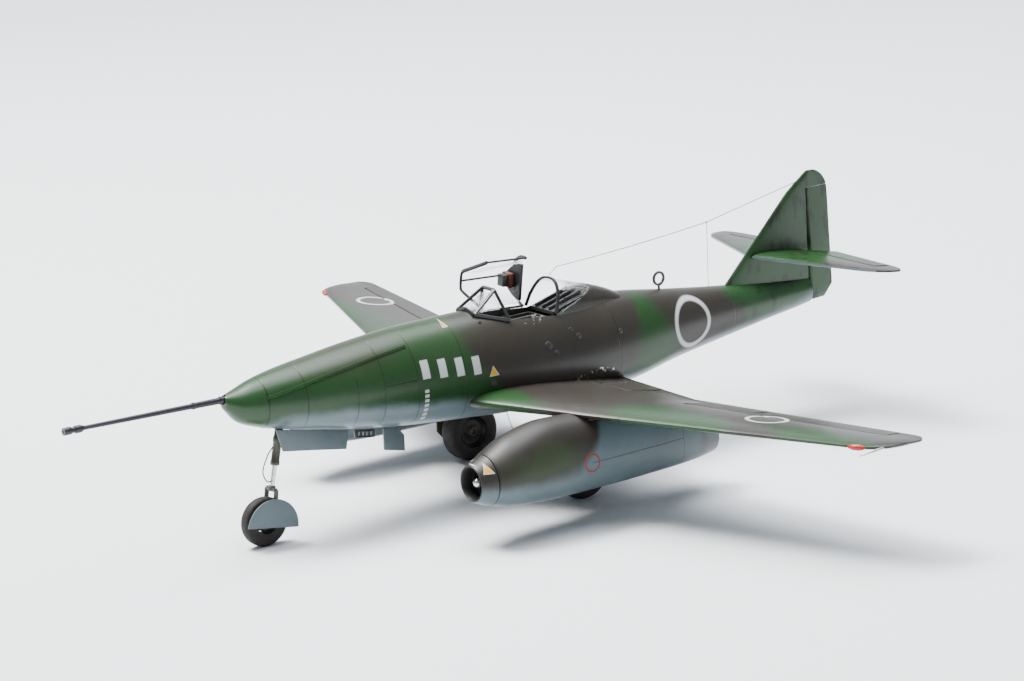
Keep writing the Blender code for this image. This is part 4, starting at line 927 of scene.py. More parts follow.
    def below(self, sheet: Sheet, z: Socket, y: Socket, wander: Socket) -> Socket:
        """Mask of the pale underside, under a line that runs along the body.

        Args:
            sheet: The material's sheet.
            z: Height.
            y: Place along the body.
            wander: A slow noise that keeps the line from being ruled.

        Returns:
            The mask.
        """
        ramp = sheet.node("ShaderNodeValToRGB", {0: sheet.math("DIVIDE", y, 11.0)})
        stops = ramp.color_ramp.elements
        while len(stops) < len(self.under):
            stops.new(0.5)
        for stop, (along, height) in zip(stops, self.under):
            stop.position = along / 11.0
            stop.color = (height / 3.0, height / 3.0, height / 3.0, 1.0)
        level = sheet.times(sheet.node("ShaderNodeSeparateColor", {0: ramp.outputs["Color"]}).outputs[0],
                            3.0)
        waver = sheet.times(sheet.node("ShaderNodeSeparateXYZ", {0: wander}).outputs["Z"], 0.22)
        height = sheet.minus(sheet.plus(z, waver), level)
        return sheet.ease(height, -self.under_softness, self.under_softness, 1.0, 0.0)

    def panel_lines(self, sheet: Sheet, shop: PaintShop, x: Socket, y: Socket, z: Socket) -> Socket:
        """Mask of every engraved line of the skin.

        Args:
            sheet: The material's node tree.
            shop: The shared node groups.
            x: Full-size place across.
            y: Full-size place along.
            z: Full-size height.

        Returns:
            The mask, 1 in a line and 0 beside it.
        """
        total: object = 0.0
        for along, low, high in self.rings:
            mask = sheet.group(shop.line, {"Value": y, "Line at": along,
                                           "Half width": 0.0062}).outputs["Mask"]
            inside = sheet.times(sheet.ease(z, low - 0.01, low + 0.01),
                                 sheet.ease(z, high - 0.01, high + 0.01, 1.0, 0.0))
            total = sheet.math("MAXIMUM", sheet.times(mask, inside), total)
        across = sheet.math("ABSOLUTE", x)
        for place in self.ribs:
            mask = sheet.group(shop.line, {"Value": across, "Line at": place,
                                           "Half width": 0.0062}).outputs["Mask"]
            total = sheet.math("MAXIMUM", mask, total)
        for start, end, height in self.streaks:
            mask = sheet.group(shop.line, {"Value": z, "Line at": height,
                                           "Half width": 0.0062}).outputs["Mask"]
            inside = sheet.times(sheet.ease(y, start - 0.01, start + 0.01),
                                 sheet.ease(y, end - 0.01, end + 0.01, 1.0, 0.0))
            total = sheet.math("MAXIMUM", sheet.times(mask, inside), total)
        return sheet.plus(total, 0.0)

    def painted_marks(self, sheet: Sheet, shop: PaintShop, colour: Socket,
                      place: dict[str, Socket]) -> Socket:
        """Plain bars, hoops and triangles painted over the skin.

        Args:
            sheet: The material's sheet.
            shop: The shared shader groups.
            colour: The skin's colour so far.
            place: The full-size place, by axis.

        Returns:
            The colour with the marks on it.
        """
        y, z = place["Y"], place["Z"]
        u, v = (place[axis] for axis in self.hoop_plane)
        for cy, cz, hy, hz in self.side_marks:
            mask = sheet.group(shop.mark, {"U": y, "V": z, "Centre": (cy, cz, 0.0),
                                           "Half size": (hy, hz, 0.0)}).outputs["Mask"]
            colour = sheet.mix(mask, colour, (*WHITE, 1.0))
        for cy, cz, radius, half, paint in self.hoops:
            away = sheet.math("SQRT", sheet.plus(sheet.math("POWER", sheet.minus(u, cy), 2.0),
                                                 sheet.math("POWER", sheet.minus(v, cz), 2.0)))
            mask = sheet.group(shop.line, {"Value": away, "Line at": radius,
                                           "Half width": half}).outputs["Mask"]
            colour = sheet.mix(mask, colour, (*paint, 1.0))
        for cy, cz, height in self.triangles:
            for paint, size, lift in ((WHITE, height, 0.0), (YELLOW, height * 0.84, height * 0.06)):
                up = sheet.minus(z, cz + lift)
                reach = sheet.times(sheet.minus(size, up), 0.58)
                inside = sheet.minus(reach, sheet.math("ABSOLUTE", sheet.minus(y, cy)))
                mask = sheet.times(sheet.ease(inside, -0.004, 0.004), sheet.ease(up, -0.004, 0.004))
                colour = sheet.mix(mask, colour, (*paint, 1.0))
        return colour


class Coat(Enum):
    """The model's finishes."""

    BODY = "painted body"
    WING = "painted wing"
    TAIL = "painted tail"
    NACELLE = "painted nacelle"
    UNDER = "pale underside"
    DOOR = "pale doors"
    FRAME = "dark canopy frame"
    BLACK = "cockpit black"
    CLEAR = "clear plastic"
    SEAT = "olive seat"
    PAD = "leather pad"
    YELLOW = "yellow details"
    RED = "red details"
    WHITE = "dial white"
    STEEL = "bright steel"
    GUN = "gun metal"
    LEG = "olive legs"
    RUBBER = "tyre rubber"
    HUB = "wheel hub"
    DARK = "inside of the ducts"
    WIRE = "aerial wire"
    STRAP = "seat strap"


MARK_BARS = tuple((2.80 + 0.27 * step, 2.04 - 0.03 * step, 0.060, 0.120) for step in range(4))
BODY_UNDER = ((0.0, 1.62), (0.45, 1.68), (1.05, 1.76), (1.60, 1.73), (2.35, 1.62), (3.50, 1.46),
              (5.00, 1.27),
              (6.50, 1.22), (7.70, 1.38), (9.00, 1.54), (9.85, 1.65), (10.50, 1.73))
LADDER = tuple((2.78, 1.36 + 0.066 * step, 0.032, 0.020) for step in range(7))
EVERYWHERE = 9.0

CAMOUFLAGES: dict[Coat, Camouflage] = {
    Coat.BODY: Camouflage(
        "painted body",
        patches=((OLIVE, Patch((0.0, 1.75, 2.45), (0.60, 0.85, 0.34), 0.50)),),
        bands=((BROWN, 3.75, 5.60, 0.58, 0.13), (BROWN, 5.20, 6.52, -0.42, 0.12),
               (BROWN, 7.00, 8.50, 0.30, 0.12)),
        under=BODY_UNDER, under_softness=0.10, mottle=(8.6, 0.55),
        rings=((0.505, 1.5, 2.6), (1.03, 1.0, 2.6), (1.75, 1.0, 2.1), (2.15, 1.0, 2.7), (2.66, 1.0, 2.7),
               (3.42, 1.0, 2.7),
               (6.10, 1.0, 2.6), (8.45, 1.0, 2.6), (9.40, 1.0, 2.4)),
        streaks=((2.15, 2.66, 1.93),),
        chipped=(Patch((0.58, 5.62, 1.42), (0.25, 0.45, 0.09)),
                 Patch((0.36, 4.95, 2.36), (0.16, 0.50, 0.11))),
        # A darker patch low on the nose side.
        sooted=(Patch((0.30, 0.72, 1.60), (0.4, 0.12, 0.06), 0.5),),
        # Painted highlight on the top of the body ahead of the windscreen.
        lit=(Patch((0.0, 3.20, 2.35), (EVERYWHERE, 0.50, 0.35), 0.5),),
        side_marks=MARK_BARS + LADDER, hoops=((7.56, 1.78, 0.33, 0.030, WHITE),),
        triangles=((3.36, 2.465, 0.085), (3.87, 1.76, 0.14))),
    Coat.WING: Camouflage(
        "painted wing", base=BROWN,
        patches=((GREEN, Patch((3.35, 4.62, 1.5), (0.95, 0.52, EVERYWHERE), 0.40)),
                 (GREEN, Patch((1.05, 3.72, 1.5), (0.50, 0.38, EVERYWHERE), 0.40)),
                 (GREEN, Patch((5.55, 5.38, 1.5), (0.95, 0.35, EVERYWHERE), 0.40)),
                 (GREEN, Patch((-5.20, 5.05, 1.5), (1.60, 0.30, EVERYWHERE), 0.40)),
                 (GREEN, Patch((-3.00, 4.55, 1.5), (1.00, 0.40, EVERYWHERE), 0.40)),
                 (GREEN, Patch((-1.45, 5.30, 1.5), (0.55, 0.95, EVERYWHERE), 0.40))),
        hoops=((4.14, 5.62, 0.26, 0.026, WHITE), (-4.96, 5.74, 0.26, 0.026, WHITE)), hoop_plane="XY",
        ribs=(1.35, 2.75, 3.66, 4.72, 5.82),
        chipped=(Patch((0.72, 5.55, 1.4), (0.26, 0.60, 0.30)),)),
    Coat.TAIL: Camouflage(
        "painted tail", mottle=(7.0, 0.62),
        patches=((BROWN, Patch((1.75, 9.9, 2.4), (0.75, 0.9, 0.6))),
                 (BROWN, Patch((-1.75, 9.9, 2.4), (0.75, 0.9, 0.6)))),
        under=((8.0, 1.2), (10.2, 1.56), (10.6, 1.62))),
    Coat.NACELLE: Camouflage(
        # The nacelle's base and pale colours are darker as painted shade from the wing above.
        "painted nacelle", base=SHADED_BROWN, pale=SHADED_BLUE, roughness=0.42,
        patches=((OLIVE, Patch((2.06, 3.30, 1.00), (EVERYWHERE, 0.55, 0.20), 0.7)),),
        under=((2.30, 0.84), (2.60, 0.80), (3.20, 0.78), (3.80, 0.84), (4.15, 1.10), (4.35, 1.50),
               (6.5, 1.50)), under_softness=0.10,
        rings=((2.62, 0.9, 2.0), (5.62, 0.0, 2.0)),
        streaks=((4.02, 5.62, 0.91),),
        # Exhaust soot at the rear of the nacelle.
        sooted=(Patch((2.06, 6.3, 0.8), (EVERYWHERE, 0.35, 0.6), 0.4),),
        hoops=((4.02, 0.91, 0.115, 0.012, (0.16, 0.012, 0.010)),),
        triangles=((2.50, 1.04, 0.12), (2.36, 1.13, 0.10))),
    Coat.UNDER: Camouflage("pale underside", base=PALE_BLUE, ribs=(1.35, 2.75, 3.66, 4.72, 5.82)),
}

PLAIN_FINISHES: dict[Coat, PlainFinish] = {
    Coat.DOOR: PlainFinish("pale doors", (0.078, 0.116, 0.130), 0.46, worn=(0.030, 0.020, 0.012), wear=0.35),
    Coat.FRAME: PlainFinish("dark canopy frame", (0.010, 0.011, 0.012), 0.34, worn=(0.05, 0.05, 0.05),
                            wear=0.15),
    Coat.BLACK: PlainFinish("cockpit black", (0.008, 0.008, 0.009), 0.45, worn=(0.10, 0.10, 0.10),
                            wear=0.20, bump=0.15),
    Coat.SEAT: PlainFinish("olive seat", (0.035, 0.035, 0.020), 0.55, worn=(0.15, 0.15, 0.13), wear=0.30),
    Coat.PAD: PlainFinish("leather pad", (0.085, 0.016, 0.008), 0.55, bump=0.5),
    Coat.YELLOW: PlainFinish("yellow details", (0.55, 0.30, 0.01), 0.50),
    Coat.RED: PlainFinish("red details", (0.38, 0.012, 0.008), 0.30),
    Coat.WHITE: PlainFinish("dial white", (0.45, 0.45, 0.42), 0.50),
    Coat.STEEL: PlainFinish("bright steel", (0.62, 0.62, 0.61), 0.22, 0.95, bump=0.12),
    Coat.GUN: PlainFinish("gun metal", (0.030, 0.027, 0.036), 0.36, 0.60, worn=(0.12, 0.11, 0.12),
                          wear=0.25, bump=0.12),
    Coat.LEG: PlainFinish("olive legs", (0.040, 0.042, 0.026), 0.45, 0.2, worn=(0.14, 0.13, 0.11),
                          wear=0.35),
    Coat.RUBBER: PlainFinish("tyre rubber", (0.0095, 0.0075, 0.0060), 0.75, worn=(0.028, 0.022, 0.016),
                             wear=0.35, bump=0.45),
    Coat.HUB: PlainFinish("wheel hub", (0.014, 0.011, 0.008), 0.45, 0.3, worn=(0.08, 0.06, 0.045),
                          wear=0.30),
    Coat.DARK: PlainFinish("inside of the ducts", (0.012, 0.012, 0.012), 0.50, 0.2, wear=0.10),
    Coat.WIRE: PlainFinish("aerial wire", (0.012, 0.012, 0.012), 0.55),
    Coat.STRAP: PlainFinish("seat strap", (0.16, 0.14, 0.10), 0.80, bump=0.5),
}

Paint = dict[Coat, Material]


def mix_paint() -> Paint:
    """Make every finish's material once."""
    shop = PaintShop()
    paint = {coat: finish.build(shop) for coat, finish in {**CAMOUFLAGES, **PLAIN_FINISHES}.items()}
    paint[Coat.CLEAR] = ClearFinish("clear plastic").build(shop)
    return paint


# ==== repeated pieces ==========================================================================
def geometry_tree(name: str, inputs: dict[str, str]) -> tuple[Tree, Sheet, dict[str, Socket], Node]:
    """Start a geometry tree that copies an Item over points and gives the copies a Finish.

    Args:
        name: The tree's name.
        inputs: Socket kinds of the tree's other inputs, by name.

    Returns:
        The tree, a sheet to write it with, its input sockets by name, and the node that copies.
    """
    tree = bpy.data.node_groups.new(name, "GeometryNodeTree")
    for label, kind in {"Item": "Object", "Finish": "Material", **inputs}.items():
        tree.interface.new_socket(label, in_out="INPUT", socket_type=f"NodeSocket{kind}")
    tree.interface.new_socket("Mesh", in_out="OUTPUT", socket_type="NodeSocketGeometry")
    sheet = Sheet(tree)
    given = {socket.name: socket for socket in sheet.node("NodeGroupInput").outputs}
    item = sheet.node("GeometryNodeObjectInfo", {"Object": given["Item"]}).outputs["Geometry"]
    copies = sheet.node("GeometryNodeInstanceOnPoints", {"Instance": item})
    real = sheet.node("GeometryNodeRealizeInstances", {"Geometry": copies.outputs["Instances"]})
    dressed = sheet.node("GeometryNodeSetMaterial", {"Geometry": real.outputs[0],
                                                     "Material": given["Finish"]})
    sheet.node("NodeGroupOutput", {"Mesh": dressed.outputs["Geometry"]})
    return tree, sheet, given, copies


def make_ring_tree() -> Tree:
    """Copies of an item around the z axis, each turned to face outwards."""
    tree, sheet, given, copies = geometry_tree("ring of copies", {"Count": "Int", "Radius": "Float"})
    circle = sheet.node("GeometryNodeMeshCircle", {"Vertices": given["Count"], "Radius": given["Radius"]})
    step = sheet.math("DIVIDE", 2 * math.pi, given["Count"])
    turn = sheet.times(sheet.node("GeometryNodeInputIndex").outputs["Index"], step)
    spin = sheet.node("ShaderNodeCombineXYZ", {"Z": turn}).outputs[0]
    rotation = sheet.node("FunctionNodeEulerToRotation", {0: spin}).outputs[0]
    sheet.feed(copies.inputs["Rotation"], rotation)
    sheet.feed(copies.inputs["Points"], circle.outputs["Mesh"])
    return tree


def make_row_tree() -> Tree:
    """Copies of an item in a straight row, each of very slightly another size."""
    tree, sheet, given, copies = geometry_tree("row of copies",
                                               {"Count": "Int", "Start": "Vector", "Step": "Vector",
                                                                 "Seed": "Int"})
    line = sheet.node("GeometryNodeMeshLine", {"Count": given["Count"], "Start Location": given["Start"],
                                               "Offset": given["Step"]})
    size = sheet.node("FunctionNodeRandomValue", {2: 0.94, 3: 1.06, "Seed": given["Seed"]},
                      data_type="FLOAT")
    sheet.feed(copies.inputs["Scale"], size.outputs[1])
    sheet.feed(copies.inputs["Points"], line.outputs["Mesh"])
    return tree


@dataclass
class Repeater:
    """Makes rings and rows of a small item, as one mesh."""

    ring_tree: Tree = field(default_factory=make_ring_tree)
    row_tree: Tree = field(default_factory=make_row_tree)

    @staticmethod
    def grown(name: str, tree: Tree, values: dict[str, object]) -> Piece:
        """Run a tree with its inputs set, and keep its mesh."""
        host = placed(name, bpy.data.meshes.new(name))
        step = host.modifiers.new("copies", "NODES")
        step.node_group = tree
        inputs = [item for item in tree.interface.items_tree if item.in_out == "INPUT"]
        sockets = {item.name: item.identifier for item in inputs}
        for label, value in values.items():
            step[sockets[label]] = value
        settle(host, 40.0)
        bpy.data.objects.remove(values["Item"], do_unlink=True)
        return host

    def ring(self, name: str, item: Piece, finish: Material, count: int, radius: float,
             centre: Point, axis: Point) -> Piece:
        """Copies around an axis.

        Args:
            name: The new piece's name.
            item: A model-size item at the origin: z along the axis, x outwards.
            finish: The copies' finish.
            count: How many.
            radius: Full-size distance from the axis.
            centre: Full-size middle of the ring.
            axis: The ring's axis.

        Returns:
            The ring of copies as one piece.
        """
        values = {"Item": item, "Finish": finish, "Count": count, "Radius": radius * SCALE}
        host = self.grown(name, self.ring_tree, values)
        aim = Vector(axis).to_track_quat("Z", "Y").to_matrix().to_4x4()
        host.data.transform(Matrix.Translation(Vector(to_model([centre])[0])) @ aim)
        return host

    def row(self, name: str, item: Piece, finish: Material, count: int, start: Point,
            end: Point, seed: int = 7) -> Piece:
        """Copies from one full-size point to another."""
        first, last = (Vector(row) for row in to_model([start, end]))
        values = {"Item": item, "Finish": finish, "Count": count, "Start": first,
                  "Step": (last - first) / (count - 1), "Seed": seed}
        return self.grown(name, self.row_tree, values)


def hand_over(piece: Piece, slot: str, *nodes: str, body: str = "airframe") -> Piece:
    """Hang a piece on the body that it rides on, and hide the frame's nodes that it stands for.

    Args:
        piece: The finished piece.
        slot: Not used.
        *nodes: The frame's nodes that it replaces.
        body: The body that it rides on.

    Returns:
        The piece.
    """
    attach(piece, body)
    if nodes:
        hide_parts(*nodes)
    LOG.info("%s: %d faces", piece.name, len(piece.data.polygons))
    return piece


def at_origin(name: str, low: Point, high: Point) -> Piece:
    """A small box about the origin, in full-size metres, to be repeated."""
    item = block(name, low, high)
    item.data.transform(Matrix.Translation((0.0, MIDDLE_Y * SCALE, 0.0)))
    return item


def paint_underside(piece: Piece, finish: Material) -> None:
    """Give the faces that look down a second finish."""
    piece.data.materials.append(finish)
    for face in piece.data.polygons:
        if face.normal.z < -0.02:
            face.material_index = 1


def body_shape(name: str, start: float, end: float, grow: float = 0.0, rows: int = 60, sides: int = 96,
               material: Optional[Material] = None) -> Piece:
    """The body's own shape between two places along it."""
    places = start + (end - start) * (np.arange(rows + 1) / rows) ** 1.1
    return loft(name, [body_ring(y, grow, sides) for y in places], material)


# ==== fuselage and gun =========================================================================
@dataclass
class Fuselage:
    """The body's skin with its openings, the nose cap and the gun."""

    paint: Paint
    repeater: Repeater
    cap_end: float = 0.50
    gun_z: float = 2.075
    gun_rise: float = 0.023
    gun_reach: float = 2.31
    gun_radius: float = 0.047
    nose_bay: tuple[float, float, float, float] = (0.62, 2.78, 0.135, 1.66)
    wheel_y: float = WING_Y + 1.296

    def build(self) -> None:
        """Make the skin, the cap, the gun and the raised details of the nose."""
        self.skin()
        self.cap()
        self.gun()
        self.details()

    def openings(self) -> list[Piece]:
        """Cutters of the cockpit, the bays and the rudder's notch."""
        half, front, rear = 0.335, CABIN_Y + 0.20, HOOP_Y + 0.45
        outline = [(half * 0.45, front), (half * 0.95, front + 0.30), (half, HOOP_Y), (half * 0.55, rear),
                   (-half * 0.55, rear), (-half, HOOP_Y), (-half * 0.95, front + 0.30),
                   (-half * 0.45, front)]
        cockpit = prism("cockpit opening", [(x, y, SILL_Z - 0.42) for x, y in outline], (0, 0, 1.0))
        bay_front, bay_rear, bay_half, roof = self.nose_bay
        nose_bay = block("nose bay", (-bay_half, bay_front, 0.8), (bay_half, bay_rear, roof))
        wheels = [block("wheel bay", (min(s * 0.06, s * 0.40), self.wheel_y - 0.48, 0.8),
                        (max(s * 0.06, s * 0.40), self.wheel_y + 0.48, 1.17)) for s in (1, -1)]
        return [cockpit, nose_bay, *wheels, rudder_notch()]

    def skin(self) -> None:
        """One smooth skin for both moulded halves."""
        skin = body_shape("fuselage_skin", self.cap_end, BODY_END_Y, rows=110,
                          material=self.paint[Coat.BODY])
        cavity = body_shape("body cavity", self.cap_end - 0.1, BODY_END_Y - 0.95, -SKIN_WALL, 50, 48)
        carve(skin, [cavity, *self.openings()])
        hand_over(skin, "camouflage_skin", "fuselage_left", "fuselage_right")

    def cap(self) -> None:
        """Nose cap, with its socket for the gun and a thin collar round it."""
        places = np.concatenate([[0.0, 0.006, 0.018], np.linspace(0.04, self.cap_end - 0.004, 22)])
        rings = [body_ring(y) for y in places]
        middle = np.array([0.0, 0.0, 2.04])
        rings[0] = middle + (rings[0] - middle) * 0.80 * (1, 0, 1)
        rings[1] = middle + (rings[1] - middle) * (0.93, 1, 0.93)
        rings[1][:, 1] = places[1]
        cap = loft("nose_skin", rings, self.paint[Coat.BODY])
        carve(cap, [rod("gun socket", (0, -0.1, self.gun_z), (0, 0.38, self.gun_z), self.gun_radius + GAP)])
        hand_over(cap, "camouflage_skin", "nose_cap")

    def gun(self) -> None:
        """Tapering barrel with a sleeve, and a two-chamber muzzle brake."""
        axis, start = (0, -1, self.gun_rise), (0, 0, self.gun_z)
        radius, tip, brake = self.gun_radius, self.gun_radius * 0.62, 0.30
        barrel = [(-0.34, 0.0), (-0.34, radius), (0.015, radius), (0.02, radius * 1.16),
                  (0.045, radius * 1.16), (0.05, radius * 0.94),
                  (0.42, radius * 0.88), (0.425, radius * 0.99), (0.455, radius * 0.99),
                  (0.46, radius * 0.78),
                  (self.gun_reach - brake, tip), (self.gun_reach - brake, 0.0)]
        piece = turned("gun_tube", barrel, start, axis, self.paint[Coat.GUN])
        hand_over(piece, "gun_metal", "gun_barrel")
        first, outer, throat = self.gun_reach - brake + GAP, tip * 1.75, tip * 0.5
        muzzle = [(first, 0.0), (first, tip * 1.1), (first + 0.04, outer * 0.96), (first + 0.05, outer),
                  (first + 0.115, outer),
                  (first + 0.12, outer * 0.96), (first + 0.125, outer * 0.74),
                  (first + 0.175, outer * 0.74), (first + 0.18, outer * 0.96),
                  (first + 0.185, outer), (self.gun_reach - 0.01, outer), (self.gun_reach, outer * 0.93),
                  (self.gun_reach, throat),
                  (first + 0.10, throat), (first + 0.10, 0.0)]
        brake_piece = turned("muzzle_brake_turned", muzzle, start, axis, self.paint[Coat.GUN])
        hand_over(brake_piece, "gun_metal", "muzzle_brake")

    def details(self) -> None:
        """Raised strips over the gun bay, each with a dark bar of painted shadow under it, and dark filler
        caps.
        """
        strips, shadows = [], []
        for sign in (1, -1):
            path = [(0.48, 2.06), (0.98, 2.14), (1.50, 2.22), (2.10, 2.30), (2.62, 2.36)]
            places = rounded_path([(sign * skin_x(y, z), y, z) for y, z in path], 8)
            places[:, 0] = [sign * skin_x(y, z) for _, y, z in places]
            outward = np.stack([np.full(len(places), sign * 1.0), np.zeros(len(places)),
                                np.full(len(places), 0.5)], axis=1)
            strips.append(flat_bar("gun bay strip", places, outward, 0.042, 0.030, self.paint[Coat.BODY]))
            # A thin dark bar under each strip: painted shadow of the raised strip.
            shadows.append(flat_bar("gun bay gap", places - (0, 0, 0.028), outward, 0.016, 0.010,
                                    self.paint[Coat.WIRE]))
        hand_over(joined("gun_bay_edges", strips), "camouflage_skin")
        hand_over(joined("gun_bay_gaps", shadows), "dark_frame")
        caps = []
        for y, z, radius in ((4.85, 1.98, 0.062), (4.96, 1.87, 0.036), (5.30, 2.11, 0.034),
                             (5.40, 2.01, 0.040), (6.15, 1.94, 0.036), (3.90, 2.43, 0.030),
                             (3.85, 1.66, 0.045)):
            for sign in (1, -1):
                x = sign * skin_x(y, z)
                caps.append(turned("cap", [(-0.02, 0.0), (-0.02, radius), (0.004, radius),
                                           (0.010, radius - 0.008), (0.010, 0.0)],
                                   (x, y, z), (sign, 0, 0.25), self.paint[Coat.DARK], 36))
        hand_over(joined("filler_caps", caps), "dark_frame")


def rudder_hinge_y(z: float) -> float:
    """Where the rudder's hinge lies at a height."""
    return TAIL_END_Y - 0.40 - 0.06 * (z - 1.7) / (FIN_TOP - 0.27 - 1.7)


def rudder_notch() -> Piece:
    """Cutter that makes room for the rudder."""
    foot, head = 1.60, FIN_TOP - 0.27
    outline = [(0.4, rudder_hinge_y(foot) - 0.062, 1.2), (0.4, rudder_hinge_y(head) - 0.062, head + GAP),
               (0.4, TAIL_END_Y + 0.5, head + GAP), (0.4, TAIL_END_Y + 0.5, 1.2)]
    return prism("rudder notch", outline, (-0.8, 0, 0))


# ==== wing =====================================================================================
@dataclass(frozen=True)
class Strip:
    """A hinged strip of the wing's trailing edge."""

    name: str
    inner: float
    outer: float
    hinge_share: float


STRIPS = (Strip("flap_inner", 0.86, 1.51, 0.76), Strip("flap_outer", 2.61, 3.62, 0.76),
          Strip("aileron", 3.70, 5.78, 0.74))


def strip_hinge(strip: Strip, x: float) -> tuple[np.ndarray, float, np.ndarray]:
    """A strip's hinge point, nose radius and trailing edge at a place."""
    lead, trail = wing_chord(x)
    share = (abs(x) - BODY_SIDE_X) / (HALF_SPAN - BODY_SIDE_X)
    radius = float(half_thickness(np.array(strip.hinge_share),
                                  0.11 - 0.02 * share)) * np.linalg.norm(trail - lead)
    return lead + (trail - lead) * strip.hinge_share, radius, trail


def strip_ring(hinge: np.ndarray, radius: float, trail: np.ndarray, steps: int = 20) -> np.ndarray:
    """Ring of a hinged strip: round nose about its hinge, thin trailing edge."""
    along = (trail - hinge) / np.linalg.norm(trail - hinge)
    up = np.array([0.0, 0.0, 1.0]) - along * along[2]
    up /= np.linalg.norm(up)
    angles = math.pi / 2 + math.pi * np.arange(steps + 1) / steps
    nose = hinge + (along * np.cos(angles)[:, None] + up * np.sin(angles)[:, None]) * radius
    return np.concatenate([nose, [trail - up * EDGE / 2, trail + up * EDGE / 2]])


@dataclass
class Wing:
    """Lower half, two upper halves, six hinged strips, and what stands on them."""

    paint: Paint

    def build(self) -> None:
        """Make the wing's halves and strips, the pitot tube and the lamp."""
        body = body_shape("body at the wing root", WING_Y - 0.6, WAIST_Y + 0.3, 0.001, 30, 64)
        notches = {side: [self.strip(strip, side) for strip in STRIPS] for side in Side}
        lower = loft("wing_underside", [wing_ring(x, "lower") for x in wing_places(-HALF_SPAN, HALF_SPAN)],
                     self.paint[Coat.UNDER])
        carve(lower, [*notches[Side.PORT], *notches[Side.STARBOARD]], keep=True)
        lower.data.materials.append(self.paint[Coat.WING])
        for face in lower.data.polygons:
            face.material_index = int(face.normal.y < -0.22 and face.normal.z > -0.97)
        hand_over(lower, "underside_skin", "wing_lower")
        for side in Side:
            places = wing_places(side.value * 0.3, side.value * HALF_SPAN)
            upper = loft(f"wing_top_{side.word}", [wing_ring(x, "upper") for x in places],
                         self.paint[Coat.WING])
            carve(upper, [body, *notches[side]], keep=True)
            hand_over(upper, "camouflage_skin", f"wing_upper_{side.word}")
        for cutter in [body, *notches[Side.PORT], *notches[Side.STARBOARD]]:
            bpy.data.objects.remove(cutter, do_unlink=True)
        self.fittings()

    def strip(self, strip: Strip, side: Side) -> Piece:
        """Make one strip.

        Args:
            strip: Which strip.
            side: Which side of the aircraft.

        Returns:
            The cutter of its notch.
        """
        sign = side.value
        ends = [sign * strip.inner, sign * strip.outer]
        places = np.linspace(*ends, 12)
        piece = loft(f"{strip.name}_skin_{side.word}", [strip_ring(*strip_hinge(strip, x)) for x in places],
                     self.paint[Coat.WING])
        paint_underside(piece, self.paint[Coat.UNDER])
        body = f"{strip.name}_{side.word}"
        hand_over(piece, "camouflage_skin", body, body=body)
        front = []
        for x in (ends[0] - sign * GAP, ends[1] + sign * GAP):
            hinge, radius, trail = strip_hinge(strip, x)
            front.append((x, hinge[1] - radius - 0.0004 / SCALE, trail[1]))
        far = max(front[0][2], front[1][2]) + 0.3
        outline = [(front[0][0], front[0][1], 0.8), (front[1][0], front[1][1], 0.8),
                   (front[1][0], far, 0.8), (front[0][0], far, 0.8)]
        return prism(f"{strip.name} notch", outline, (0, 0, 1.4))

    def fittings(self) -> None:
        """Pitot tube at the port tip, and a lamp on each tip."""
        x = HALF_SPAN - 0.26 / 5
        lead, _ = wing_chord(x)
        radius = 0.00035 / SCALE
        tube = turned("pitot_probe", [(GAP, 0.0), (GAP, radius), (0.20, radius), (0.22, radius * 0.75),
                                      (0.41, radius * 0.62), (0.42, radius * 0.4),
                                      (0.42, 0.0)], lead, (0, -1, -0.048), self.paint[Coat.STEEL], 32)
        hand_over(tube, "bright_metal", "pitot_tube")
        for side in Side:
            inner, outer = (Vector(wing_chord(side.value * x)[0]) for x in (5.86, 6.06))
            lamp = turned(f"tip_lamp_{side.word}", [(-0.13, 0.0), (-0.11, 0.020), (-0.05, 0.038),
                                                    (0.03, 0.040), (0.09, 0.026), (0.12, 0.0)],
                          (inner + outer) / 2, outer - inner, self.paint[Coat.RED], 32)
            hand_over(lamp, "camouflage_skin")


# ==== nacelles =================================================================================
NACELLE_SHAPE = ((0.000, 0.555, 0.250, 0.250), (0.040, 0.690, 0.312, 0.325), (0.080, 0.820, 0.352, 0.410),
                 (0.150, 0.960, 0.392, 0.545), (0.300, 1.000, 0.415, 0.668), (0.520, 1.000, 0.395, 0.640),
                 (0.740, 0.950, 0.358, 0.600), (0.910, 0.800, 0.318, 0.500), (1.000, 0.620, 0.270, 0.300))


